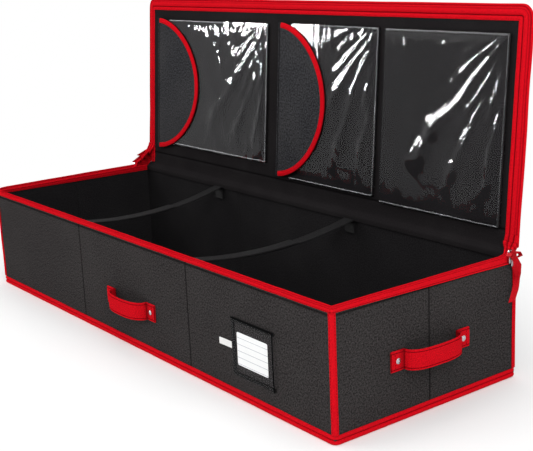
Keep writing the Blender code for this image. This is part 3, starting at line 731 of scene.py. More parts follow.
def ribbon_profile(
    width: float, thick: float, lip: float = 0.0, puff: float = 0.0, count: int = 12, groove: float = 0.0
) -> list[Point2]:
    """Return the closed cross-section of a flat strip with soft edges.

    Args:
        width: Full width.
        thick: Full thickness at the edge.
        lip: How far a roll beside each edge stands up.
        puff: How far the middle swells on the upper side.
        count: Points on each side.
        groove: How deep the sewn line beside each edge sinks.

    Returns:
        Points as (across, up).
    """
    top, under = [], []
    for j in range(count + 1):
        t = -1 + 2 * j / count
        t = math.sin(t * math.pi / 2) * 0.5 + t * 0.5
        edge = (1 - abs(t) ** 10) ** 0.5
        roll = lip * math.exp(-(((1 - abs(t)) * width / 2 - 0.07 * width) / (0.05 * width)) ** 2)
        swell = puff * (1 - t * t) ** 0.5
        swell -= groove * math.exp(-((((1 - abs(t)) * 0.5 - 0.115) / 0.03) ** 2))
        top.append((t * width / 2, edge * thick / 2 + roll + swell * edge))
        under.append((t * width / 2, -edge * thick / 2 - roll * 0.5))
    return top + under[::-1][1:-1]


def round_profile(wide: float, high: float, count: int = 14) -> list[Point2]:
    """Return the closed cross-section of a piping, round or oval."""
    turn = [2 * math.pi * i / count for i in range(count)]
    return [(wide / 2 * math.cos(a), high / 2 * math.sin(a)) for a in turn]


def creases(profile: Sequence[Point2]) -> list[float]:
    """Return how much painted shade each point of a closed cross-section gets, by how deep it lies in a fold, from 0 to
    1.

    Args:
        profile: The cross-section.

    Returns:
        A shade depth for each point.
    """
    count = len(profile)
    area = sum(a[0] * b[1] - b[0] * a[1] for a, b in zip(profile, [*profile[1:], profile[0]]))
    depths = []
    for i, (x, y) in enumerate(profile):
        (ax, ay), (bx, by) = profile[i - 1], profile[(i + 1) % count]
        turn = math.atan2((x - ax) * (by - y) - (y - ay) * (bx - x), (x - ax) * (bx - x) + (y - ay) * (by - y))
        depths.append(min(1.0, max(0.0, -turn * math.copysign(1.0, area) / 0.8)))
    return depths


def heading(line: Sequence[Vector], i: int) -> Vector:
    """Return a line's direction at its point i."""
    return (line[min(i + 1, len(line) - 1)] - line[max(i - 1, 0)]).normalized()


def swept(
    line: Sequence[Vector], side: Vector | Sequence[Vector], profile: Sequence[Point2]
) -> list[list[Vector]]:
    """Carry a cross-section along a line.

    Args:
        line: Points that the middle follows.
        side: Direction of the profile's first axis, for all points or for each.
        profile: Closed cross-section.

    Returns:
        One ring of points for each point of the line.
    """
    rings = []
    for i, at in enumerate(line):
        ahead = heading(line, i)
        wide = side[i] if isinstance(side, (list, tuple)) else side
        out = ahead.cross(wide).normalized()
        rings.append([at + wide * a + out * b for a, b in profile])
    return rings


@dataclass(frozen=True)
class Course:
    """A run round the box or the lid, seen in plan, that can be grown outwards.

    The run goes from the back of the left side along the left, the front and the right side. A
    closed course also has the back side.
    """

    half: float
    front: float
    back: float
    corner: float
    closed: bool = True
    step: float = 0.008
    turns: int = 6

    def points(self, grow: float = 0.0) -> list[Point2]:
        """Return the run's points, grown outwards; every growth gives as many points.

        Args:
            grow: Distance outwards.

        Returns:
            Points as (x, y).
        """
        radius = max(self.corner + grow, 0.3 * MM)
        x, low, high = self.half + grow, self.front - grow, self.back + (grow if self.closed else 0.0)
        corners = [(-x, low), (x, low)]
        if self.closed:
            corners += [(x, high), (-x, high)]
        bases = [(-1, -1), (1, -1), (1, 1), (-1, 1)]
        arcs = []
        for (cx, cy), (sx, sy) in zip(corners, bases):
            centre = (cx - sx * radius, cy - sy * radius)
            first = {(-1, -1): 180, (1, -1): 270, (1, 1): 0, (-1, 1): 90}[(sx, sy)]
            arc = []
            for i in range(self.turns + 1):
                angle = math.radians(first + 90 * i / self.turns)
                arc.append((centre[0] + radius * math.cos(angle), centre[1] + radius * math.sin(angle)))
            arcs.append(arc)
        long_count = math.ceil(2 * self.half / self.step)
        short_count = math.ceil((self.back - self.front) / self.step)
        if self.closed:
            run = []
            for i, arc in enumerate(arcs):
                run += arc + between(arc[-1], arcs[(i + 1) % 4][0], long_count if i % 2 == 0 else short_count)
            return run
        run = [(-x, high)] + between((-x, high), arcs[0][0], short_count) + arcs[0]
        run += between(arcs[0][-1], arcs[1][0], long_count) + arcs[1]
        return run + between(arcs[1][-1], (x, high), short_count) + [(x, high)]


def between(start: Point2, stop: Point2, count: int) -> list[Point2]:
    """Return the inner points of a straight stretch cut into equal parts."""
    (ax, ay), (bx, by) = start, stop
    return [(ax + (bx - ax) * i / count, ay + (by - ay) * i / count) for i in range(1, count)]


def tube(rings: Rows, loop: bool = False, second: int = 0) -> Sketch:
    """Join closed rings into a sketch of their own.

    Args:
        rings: The rings.
        loop: Whether the last ring joins the first.
        second: Place in a ring from which faces take the second finish, or 0 for none.

    Returns:
        The sketch.
    """
    made = Sketch()
    made.tube(rings, loop, second)
    return made


def course_band(course: Course, profile: Sequence[Point2], place: Placer) -> Sketch:
    """Make a band whose cross-section follows a course, with shade painted into its folds.

    Args:
        course: The run.
        profile: Closed cross-section as (outwards, up).
        place: Puts a plan point and a height into the row frame.

    Returns:
        The band.
    """
    runs = [[place(x, y, up) for x, y in course.points(out)] for out, up in profile]
    rings = [[run[i] for run in runs] for i in range(len(runs[0]))]
    made = tube(rings, loop=course.closed)
    # Painted shade in the profile's folds.
    depths = creases(profile)
    made.folds = {i * len(profile) + j: d for i in range(len(rings)) for j, d in enumerate(depths) if d}
    return made


def on_box(x: float, y: float, z: float) -> Vector:
    """Place a point of the box, with the slight unevenness of sewn tape."""
    return uneven(Vector((x, y, z)), 0.045, 0.35 * MM)


def dress(piece: Object, body: str, slot: Slot, *nodes: str) -> Object:
    """Let a piece ride on its body and hide the solids that it stands for.

    Args:
        piece: The finished piece.
        body: Name of the body.
        slot: The record's material slot; not used.
        nodes: Names of the solids.

    Returns:
        The piece.
    """
    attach(piece, body)
    if nodes:
        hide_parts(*nodes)
    LOG.info("%s rides on %s", piece.name, body)
    return piece


def bend(
    piece: Object, slot: Slot, bodies: tuple[str, str],
    start: Sequence[float], end: Sequence[float], *nodes: str
) -> None:
    """Bake a piece that lies between two bodies into place, log the bodies and hide the solids that it stands for.

    Args:
        piece: The finished piece.
        slot: The record's material slot; not used.
        bodies: Names of the two bodies.
        start: Where it leaves the first body; not used.
        end: Where it is all the second body's; not used.
        nodes: Names of the solids.
    """
    if nodes:
        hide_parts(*nodes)
    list(bodies)
    tuple(start)
    tuple(end)
    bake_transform(piece)
    LOG.info("%s bends between %s and %s", piece.name, *bodies)


def seam_tree(
    name: str, sizes: dict[str, float], seed: int, finer: int, scales: tuple[float, float], across: bool
) -> NodeTree:
    """Build a tree that lays small round forms along the edges of a mesh: stitches, or a zip's teeth.

    Args:
        name: Name of the tree.
        sizes: First values of the inputs for the step, the form's length and its thickness.
        seed: First value of the input for the seed.
        finer: How finely a form is divided.
        scales: Smallest and largest scale of a form.
        across: Whether forms lie square to the run and to the Up direction, or along the run.

    Returns:
        The tree.
    """
    inputs: dict[str, tuple[str, object]] = {"Geometry": ("NodeSocketGeometry", None)}
    inputs |= {label: ("NodeSocketFloat", value) for label, value in sizes.items()}
    if across:
        inputs["Up"] = ("NodeSocketVector", (0.0, 0.0, 1.0))
    inputs |= {"Seed": ("NodeSocketInt", seed), "Finish": ("NodeSocketMaterial", None)}
    tree = open_group(name, "GeometryNodeTree", inputs, {"Geometry": "NodeSocketGeometry"})
    w = Wiring(tree)
    get, give = w.add("NodeGroupInput"), w.add("NodeGroupOutput")
    step, length, thick = (get.outputs[label] for label in sizes)
    run = w.add("GeometryNodeMeshToCurve", {"Mesh": get.outputs["Geometry"]}).outputs[0]
    cuts = w.add("GeometryNodeResampleCurve", {"Curve": run, "Length": step}, mode="LENGTH")
    form = w.add("GeometryNodeMeshIcoSphere", {"Radius": 0.5, "Subdivisions": finer}).outputs["Mesh"]
    size = w.add("ShaderNodeCombineXYZ", {0: length, 1: thick, 2: thick}).outputs[0]
    shaped = w.add("GeometryNodeTransform", {"Geometry": form, "Scale": size})
    ahead = w.add("GeometryNodeInputTangent").outputs[0]
    if across:
        ahead = w.vector("CROSS_PRODUCT", ahead, get.outputs["Up"])
    turn = w.add("FunctionNodeAlignRotationToVector", {"Vector": ahead}, axis="X")
    feeds = {2: scales[0], 3: scales[1], "Seed": get.outputs["Seed"]}
    change = w.add("FunctionNodeRandomValue", feeds, data_type="FLOAT")
    lay_out(w, cuts.outputs[0], shaped.outputs[0], turn.outputs[0], change.outputs[1], get, give)
    return tree


def rivet_tree() -> NodeTree:
    """Build the tree that sets one turned form on every point of a mesh.

    Returns:
        The tree.
    """
    inputs = {
        "Geometry": ("NodeSocketGeometry", None),
        "Form": ("NodeSocketObject", None),
        "Finish": ("NodeSocketMaterial", None),
    }
    tree = open_group("rivet set", "GeometryNodeTree", inputs, {"Geometry": "NodeSocketGeometry"})
    w = Wiring(tree)
    get, give = w.add("NodeGroupInput"), w.add("NodeGroupOutput")
    form = w.add("GeometryNodeObjectInfo", {"Object": get.outputs["Form"]})
    lay_out(w, get.outputs["Geometry"], form.outputs["Geometry"], None, None, get, give)
    return tree


def lay_out(
    w: Wiring,
    points: NodeSocket,
    form: NodeSocket,
    turn: NodeSocket | None,
    size: NodeSocket | None,
    get: Node,
    give: Node,
) -> None:
    """End a tree: a form on every point, made real, smooth and in its finish.

    Args:
        w: Wiring of the tree.
        points: Where the forms go.
        form: The form.
        turn: How each is turned.
        size: How much each is scaled.
        get: The tree's input node.
        give: The tree's output node.
    """
    placed = w.add("GeometryNodeInstanceOnPoints", {"Points": points, "Instance": form})
    if turn is not None:
        w.feed(placed.inputs["Rotation"], turn)
    if size is not None:
        w.feed(placed.inputs["Scale"], size)
    real = w.add("GeometryNodeRealizeInstances", {0: placed.outputs[0]}).outputs[0]
    smooth = w.add("GeometryNodeSetShadeSmooth", {"Geometry": real}).outputs[0]
    finish = w.add("GeometryNodeSetMaterial", {"Geometry": smooth, "Material": get.outputs["Finish"]})
    w.feed(give.inputs[0], finish.outputs[0])


def run_tree(
    name: str, tree: NodeTree, lines: Rows, values: dict[str, object]
) -> Object:
    """Run a tree on a set of lines and keep its result as a plain mesh object.

    Args:
        name: Name of the piece.
        tree: The tree.
        lines: Lines, or single points, that it works on.
        values: Values of its named inputs.

    Returns:
        The object, without a modifier.
    """
    verts: list[Vector] = []
    edges: list[tuple[int, int]] = []
    for line in lines:
        start = len(verts)
        verts += line
        edges += [(start + i, start + i + 1) for i in range(len(line) - 1)]
    mesh = bpy.data.meshes.new(name + "_lines")
    mesh.from_pydata([tuple(v) for v in verts], edges, [])
    made = bpy.data.objects.new(name, mesh)
    bpy.context.scene.collection.objects.link(made)
    growth = made.modifiers.new("growth", "NODES")
    growth.node_group = tree
    for item in tree.interface.items_tree:
        if item.item_type == "SOCKET" and item.in_out == "INPUT" and item.name in values:
            growth[item.identifier] = values[item.name]
    graph = bpy.context.evaluated_depsgraph_get()
    result = bpy.data.meshes.new_from_object(made.evaluated_get(graph), depsgraph=graph)
    made.modifiers.clear()
    made.data = result
    result.name = name
    if "cloth" not in result.uv_layers:
        result.uv_layers.new(name="cloth")
    bpy.data.meshes.remove(mesh)
    return made


class Shop:
    """What every sub-assembly works with: the finishes and the trees for stitches, zips and rivets."""

    def __init__(self) -> None:
        """Build the finishes' groups and the trees."""
        self.palette = Palette()
        thread = {"Spacing": 4.0 * MM, "Length": 3.0 * MM, "Width": 0.7 * MM}
        tooth = {"Pitch": 2.0 * MM, "Across": 3.0 * MM, "Thick": 1.3 * MM}
        self.stitches = seam_tree("stitch run", thread, 3, 1, (0.88, 1.08), across=False)
        self.coil = seam_tree("zip coil", tooth, 5, 2, (0.97, 1.03), across=True)
        self.rivets = rivet_tree()

    def look(self, finish: Finish) -> Material:
        """Return a finish's material."""
        return self.palette.get(finish)

    def sew(
        self,
        name: str,
        lines: Rows,
        thread: ClothFinish,
        body: str,
        slot: Slot,
        spacing: float = 4.2 * MM,
        width: float = 0.6 * MM,
    ) -> Object:
        """Lay stitches along lines.

        Args:
            name: Name of the piece.
            lines: Lines on the cloth.
            thread: Finish of the thread.
            body: Body that it rides on.
            slot: The record's material slot.
            spacing: Distance from stitch to stitch.
            width: Thickness of the thread.

        Returns:
            The piece.
        """
        values = {"Spacing": spacing, "Length": spacing * 0.8, "Width": width, "Finish": self.look(thread)}
        return dress(run_tree(name, self.stitches, lines, values), body, slot)

    def zip_teeth(
        self, name: str, lines: Rows, up: Vector, body: str, across: float = 2.6 * MM
    ) -> Object:
        """Set the teeth of a zip along lines.

        Args:
            name: Name of the piece.
            lines: Middle line of the teeth.
            up: Direction square to the tape.
            body: Body that it rides on.
            across: Length of a tooth.

        Returns:
            The piece.
        """
        values = {"Pitch": 1.9 * MM, "Across": across, "Thick": 1.3 * MM, "Up": tuple(up)}
        values["Finish"] = self.look(RED_COIL)
        return dress(run_tree(name, self.coil, lines, values), body, Slot.RED)


@dataclass(frozen=True)
class Board:
    """A stiff board sewn into cloth: a closed slab whose skins sink at seams and wave a little."""

    corner: Vector
    along: Vector
    up: Vector
    out: Vector
    length: float
    height: float
    thick: float
    seams: tuple[float, ...] = ()
    cross_seams: tuple[float, ...] = ()
    back_seams: tuple[float, ...] = ()
    seed: float = 0.0
    step: float = 0.007
    groove: float = 1.1 * MM
    pucker: float = 0.45 * MM
    wave: float = 0.55 * MM

    def sink(self, a: float, b: float, seams: Sequence[float], seed: float) -> float:
        """Return how far a skin lies below its flat face.

        Args:
            a: Place along the board.
            b: Place up the board.
            seams: Seams that run up this skin.
            seed: Tells one skin's waves from another's.

        Returns:
            The depth.
        """
        depth = self.wave * (0.5 + 0.5 * ripple(a / 0.11, b / 0.07, seed))
        for seam in seams:
            off = abs(a - seam)
            depth += self.groove * math.exp(-((off / (1.9 * MM)) ** 2))
            depth += self.pucker * math.exp(-off / 0.016) * (0.5 + 0.5 * ripple(a / 0.03, b / 0.008, seed + seam))
        return depth

    def point(self, a: float, b: float, n: float) -> Vector:
        """Return a place on the board in the row frame."""
        return self.corner + self.along * a + self.up * b + self.out * n

    def sketch(self) -> Sketch:
        """Make the slab; its inner skin takes the second finish and its seam grooves get painted shade.

        Returns:
            The slab.
        """
        columns = steps(0.0, self.length, self.step, (*self.seams, *self.back_seams))
        levels = steps(0.0, self.height, self.step, self.cross_seams)
        rings = []
        for a in columns:
            ring = []
            for b in levels:
                depth = self.sink(a, b, self.seams, self.seed)
                for seam in self.cross_seams:
                    depth += self.groove * math.exp(-(((b - seam) / (2.4 * MM)) ** 2))
                ring.append(self.point(a, b, -depth))
            for b in reversed(levels):
                depth = self.sink(a, b, self.back_seams, self.seed + 9)
                ring.append(self.point(a, b, -self.thick + min(depth, self.thick * 0.4)))
            rings.append(ring)
        made = tube(rings, second=len(levels) - 1)
        # Painted shade along the seam grooves, upright and across.
        wide = 2 * len(levels)
        for i, a in enumerate(columns):
            upright = [(a - s) / (1.3 * MM) for s in self.seams]
            for j, b in enumerate(levels):
                offsets = upright + [(b - s) / (1.5 * MM) for s in self.cross_seams]
                made.folds[i * wide + j] = max((math.exp(-(off**2)) for off in offsets), default=0.0)
        return made

    def seam_line(self, seam: float, margin: float = 0.006, step: float = 0.004) -> list[Vector]:
        """Return the bottom of an upright seam's groove, for its stitches."""
        levels = steps(margin, self.height - margin, step)
        return [self.point(seam, b, 0.2 * MM - self.sink(seam, b, self.seams, self.seed)) for b in levels]


@dataclass
class Base:
    """The bottom: outer cloth, the loose stiffening board and the red band round the foot."""

    half_length: float = 0.51
    half_depth: float = 0.175
    corner: float = 0.007
    rolls: tuple[Point2, ...] = (
        (-1.6, 0.5), (-0.9, 0.1), (0.6, 0.0), (1.9, 0.4), (2.7, 1.5), (3.0, 3.0), (2.9, 4.3), (2.2, 5.4),
        (0.9, 6.1), (0.1, 6.6), (0.9, 7.1), (2.1, 7.7), (2.7, 8.8), (2.95, 10.0), (2.6, 11.5), (1.8, 12.5),
        (0.5, 12.95), (-0.8, 12.3), (-1.6, 11.4),
    )

    def build(self, shop: Shop) -> None:
        """Build the band with its stitches, the bottom cloth and the board.

        Args:
            shop: The finishes and trees.
        """
        course = Course(self.half_length, -self.half_depth, self.half_depth, self.corner)
        profile = [(n * MM, z * MM) for n, z in self.rolls]
        band = course_band(course, profile, on_box).piece("bottom_band", shop.look(RED_TAPE))
        dress(band, "box", Slot.RED, "bottom_binding")
        run = [on_box(x, y, 6.6 * MM) for x, y in course.points(0.6 * MM)]
        shop.sew("bottom_band_stitches", [run + run[:1]], RED_THREAD, "box", Slot.RED)
        for name, node, finish, slot in (
            ("bottom_cloth", "bottom_panel", WALL_CLOTH, Slot.FABRIC),
            ("base_board_cover", "base_board", LINING_CLOTH, Slot.LINING),
        ):
            low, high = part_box(node)
            size = high - low
            board = Board(
                Vector((low.x, low.y, high.z)), RIGHT, BACK, UP,
                size.x, size.y, size.z, (size.x / 3, size.x * 2 / 3), step=0.012, groove=0.5 * MM, wave=0.3 * MM,
            )
            piece = board.sketch().piece(name, shop.look(finish), shop.look(finish))
            dress(piece, "box", slot, node)


@dataclass
class Walls:
    """The four stiff walls, cloth outside and lining inside, with their sewn fold lines."""

    seam_places: tuple[float, ...] = (-0.17, 0.17)
    crease: float = 0.1768
    tuck: float = 0.0075

    def board(self, node: str, out: Vector, seams: Sequence[float], seed: float) -> Board:
        """Lay a board on a wall's solid.

        Args:
            node: Name of the solid.
            out: Direction that its outside looks in.
            seams: Places of its fold lines.
            seed: Tells its waves from another wall's.

        Returns:
            The board.
        """
        low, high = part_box(node)
        low.z -= self.tuck
        size = high - low
        if out.y:
            along, start, length, thick = RIGHT, low.x, size.x, size.y
            corner = Vector((low.x, low.y if out.y < 0 else high.y, low.z))
        else:
            along, start, length, thick = BACK, low.y, size.y, size.x
            corner = Vector((low.x if out.x < 0 else high.x, low.y, low.z))
        places = tuple(seam - start for seam in seams)
        crease = (self.crease - low.z,)
        return Board(corner, along, UP, out, length, size.z, thick, places, crease, places, seed)

    def build(self, shop: Shop) -> None:
        """Build the walls and the stitches of their fold lines.

        Args:
            shop: The finishes and trees.
        """
        lines = []
        for node, out, seams, seed in (
            ("front_wall", -BACK, self.seam_places, 1.3),
            ("back_wall", BACK, self.seam_places, 2.7),
            ("left_wall", -RIGHT, (0.0,), 4.1),
            ("right_wall", RIGHT, (0.0,), 5.9),
        ):
            board = self.board(node, out, seams, seed)
            name = node.replace("wall", "wall_cloth")
            piece = board.sketch().piece(name, shop.look(WALL_CLOTH), shop.look(LINING_CLOTH))
            dress(piece, "box", Slot.FABRIC, node)
            lines += [board.seam_line(seam) for seam in board.seams]
        shop.sew("wall_seam_stitches", lines, BLACK_THREAD, "box", Slot.FABRIC, 5.0 * MM, 0.5 * MM)


@dataclass
class RimTrim:
    """The red binding folded over the rim, the corner bindings and the box's half of the zip."""

    half_length: float = 0.51
    half_depth: float = 0.175
    tape_back: float = 0.170
    front: float = 0.42
    narrow_below: float = 185.6 * MM
    corner_low: float = 13.5 * MM
    corner_tops: tuple[float, float] = (181.0 * MM, 175.1 * MM)
    fold: tuple[Point2, ...] = (
        (0.25, 175.7), (0.7, 175.45), (1.25, 175.6), (1.5, 176.4), (1.5, 177.6), (1.2, 178.5), (1.45, 179.4),
        (1.6, 181.5), (1.6, 184.0), (1.4, 185.6), (0.9, 186.6), (0.0, 187.05), (-1.5, 186.9), (-3.2, 187.0),
        (-4.4, 187.0), (-5.2, 186.4), (-5.5, 185.2), (-5.5, 182.4), (-5.25, 180.6), (-5.5, 179.4),
        (-5.4, 178.4), (-4.8, 177.95), (-4.2, 178.3), (-4.1, 185.7), (0.1, 185.7),
    )
    tape: tuple[Point2, ...] = (
        (-6.5, 187.25), (0.9, 187.35), (1.3, 187.9), (1.25, 188.9), (0.6, 189.5), (-0.4, 189.4),
        (-1.0, 188.6), (-1.5, 187.9), (-2.0, 187.9), (-2.5, 188.8), (-3.1, 189.6), (-3.8, 189.5), (-4.3, 188.7),
        (-4.7, 187.9), (-5.1, 187.9), (-5.5, 188.6), (-6.1, 188.8), (-6.6, 188.3), (-6.7, 187.7),
    )
    corner: tuple[Point2, ...] = (
        (0.25, 0.25), (0.25, -5.7), (0.5, -6.05), (1.0, -6.05), (1.4, -5.6), (1.5, -4.6), (1.25, -3.9),
        (1.5, -3.0), (1.55, -0.6), (1.3, 0.5), (0.9, 1.0), (0.5, 1.3), (-0.6, 1.55), (-3.0, 1.5), (-3.9, 1.25),
        (-4.6, 1.5), (-5.6, 1.4), (-6.05, 1.0), (-6.05, 0.5), (-5.7, 0.25),
    )

    def narrowed(self, x: float, y: float, z: float) -> Vector:
        """Place a point of the binding, which is narrower at the front than at the back.

        Args:
            x: Place along the box.
            y: Depth.
            z: Height on the full binding.

        Returns:
            The point.
        """
        share = min(1.0, max(0.0, (y + self.half_depth) / (2 * self.half_depth)))
        top, scale = self.narrow_below, self.front + (1 - self.front) * share
        return on_box(x, y, top - (top - z) * scale if z < top else z)

    def build(self, shop: Shop) -> None:
        """Build the binding, the zip and the corners, with their stitches.

        Args:
            shop: The finishes and trees.
        """
        course = Course(self.half_length, -self.half_depth, self.half_depth + 1.4 * MM, 2.0 * MM, closed=False)
        fold = [(n * MM, z * MM) for n, z in self.fold]
        binding = course_band(course, fold, self.narrowed).piece("rim_binding_fold", shop.look(RED_TAPE))
        dress(binding, "box", Slot.RED, "rim_binding")
        run = [self.narrowed(x, y, 178.5 * MM) for x, y in course.points(1.35 * MM)]
        inner = [self.narrowed(x, y, 180.6 * MM) for x, y in course.points(-5.35 * MM)]
        back = self.half_length - 5.6 * MM
        rows = [[on_box(x, self.half_depth + n, z) for n, z in fold] for x in steps(-back, back, 0.008)]
        dress(tube(rows).piece("rim_back_cloth", shop.look(LID_CLOTH)), "box", Slot.FABRIC)
        open_course = Course(self.half_length, -self.half_depth, self.tape_back, 2.0 * MM, closed=False)
        tape = [(n * MM, z * MM) for n, z in self.tape]
        strip = course_band(open_course, tape, on_box).piece("rim_zip_tape", shop.look(RED_TAPE))
        dress(strip, "box", Slot.RED, "box_zip_tape")
        teeth = [on_box(x, y, 189.35 * MM) for x, y in open_course.points(0.1 * MM)]
        shop.zip_teeth("rim_zip_coil", [teeth], UP, "box")
        lines = [run, inner]
        lines += [[on_box(x, y, 188.4 * MM) for x, y in open_course.points(-4.5 * MM)]]
        low = self.corner_low
        for name, sx, sy in (
            ("front_left", -1, -1),
            ("front_right", 1, -1),
            ("back_left", -1, 1),
            ("back_right", 1, 1),
        ):
            rings = []
            high = self.corner_tops[sy > 0]
            for z in steps(low, high, 0.006):
                ring = []
                for a, b in self.corner:
                    ring.append(on_box(sx * (self.half_length + a * MM), sy * (self.half_depth + b * MM), z))
                rings.append(ring)
            piece = tube(rings).piece("corner_tape_" + name, shop.look(RED_TAPE))
            dress(piece, "box", Slot.RED, "corner_binding_" + name)
            for a, b in ((1.35 * MM, -3.9 * MM), (-3.9 * MM, 1.35 * MM)):
                x, y = sx * (self.half_length + a), sy * (self.half_depth + b)
                lines.append([on_box(x, y, z) for z in steps(low + 0.003, high - 0.003, 0.006)])
        shop.sew("binding_stitches", lines, RED_THREAD, "box", Slot.RED)


@dataclass
class Handle:
    """A padded carrying handle: two riveted tabs and a bow that stands off its wall."""

    name: str
    centre: Vector
    along: Vector
    out: Vector
    sheet: float
    length: float = 0.150
    width: float = 0.030
    thick: float = 2.5 * MM
    tab: float = 0.024
    stand_off: float = 0.022
    roundness: float = 2.6
    gap: float = 0.3 * MM
    bow_steps: int = 44
    rivet_sides: int = 20
    rivet_form: tuple[Point2, ...] = (
        (0.0, 1.8), (1.1, 1.75), (2.1, 1.5), (2.8, 1.1), (3.1, 0.75), (3.4, 0.7), (4.1, 0.75), (4.3, 0.5), (4.3, 0.1)
    )

    def line(self) -> list[Vector]:
        """Return the middle line of the strap, tab to tab.

        Returns:
            The points.
        """
        half, root = self.length / 2, self.length / 2 - self.tab
        seat = self.gap + self.thick / 2
        places = [(-half, seat), (-half + 0.006, seat), (-half + 0.012, seat), (-half + 0.018, seat)]
        for i in range(self.bow_steps + 1):
            angle = math.pi * i / self.bow_steps
            share = abs(math.cos(angle)) ** (2 / self.roundness)
            rise = abs(math.sin(angle)) ** (2 / self.roundness)
            places.append((-root * math.copysign(share, math.cos(angle)), seat + self.stand_off * rise))
        places += [(-a, b) for a, b in places[3::-1]]
        return [self.centre + self.along * a + self.out * b for a, b in places]

    def rivet(self) -> Sketch:
        """Turn a rivet with its head, shank and inner washer, on the handle's outward axis.

        Returns:
            The rivet.
        """
        depth = -(self.thick + self.gap + self.sheet) / MM
        form = [*self.rivet_form, (2.0, 0.05), (2.0, depth - 0.2)]
        form += [(4.1, depth - 0.3), (4.1, depth - 1.0), (0.0, depth - 1.1)]
        rings = []
        for radius, height in form:
            ring = []
            for k in range(self.rivet_sides):
                angle = 2 * math.pi * k / self.rivet_sides
                flat = self.along * math.cos(angle) + UP * math.sin(angle)
                ring.append(flat * max(radius, 0.02) * MM + self.out * height * MM)
            rings.append(ring)
        return tube(rings)

    def build(self, shop: Shop, body: str = "box") -> None:
        """Build the strap, its stitches and its rivets.

        Args:
            shop: The finishes and trees.
            body: Body that it rides on.
        """
        line = self.line()
        profile = ribbon_profile(self.width, self.thick, 0.3 * MM, 0.7 * MM, 30, 0.7 * MM)
        rings = [[uneven(p, 0.02, 0.30 * MM) for p in ring] for ring in swept(line, UP, profile)]
        sketch = tube(rings)
        # Painted shade in the strap's creases and where it bends beside its tabs.
        for i in range(len(rings)):
            bend = math.exp(-((min(abs(i - 4), abs(len(rings) - 5 - i)) / 1.2) ** 2))
            for j, depth in enumerate(creases(profile)):
                sketch.folds[i * len(profile) + j] = max(0.7 * bend, min(1.0, 1.4 * depth))
        dress(sketch.piece(self.name + "_strap", shop.look(RED_CLOTH)), body, Slot.RED, self.name)
        lines = []
        for side in (-1, 1):
            run = swept(line, UP, [(side * self.width * 0.385, self.thick / 2 + 0.1 * MM)])
            lines.append([uneven(ring[0], 0.02, 0.30 * MM) for ring in run])
        for place in (1, 4, len(line) - 5, len(line) - 2):
            across = [(self.width * t / 10, self.thick / 2 + 0.62 * MM) for t in range(-3, 4)]
            lines.append([uneven(p, 0.02, 0.3 * MM) for p in swept(line, UP, across)[place]])
        shop.sew(self.name + "_stitches", lines, RED_THREAD, body, Slot.RED, 4.4 * MM, 0.85 * MM)
        form = self.rivet().piece(self.name + "_rivet_form", shop.look(PLATED), sharp=60)
        reach = (self.length - self.tab) / 2
        seat = self.centre + self.out * (self.gap + self.thick + 0.3 * MM)
        points = [[seat - self.along * reach], [seat + self.along * reach]]
        rivets = run_tree(self.name + "_rivets", shop.rivets, points, {"Form": form, "Finish": shop.look(PLATED)})
        bpy.data.objects.remove(form)
        dress(rivets, body, Slot.METAL, self.name + "_rivet_a", self.name + "_rivet_b")


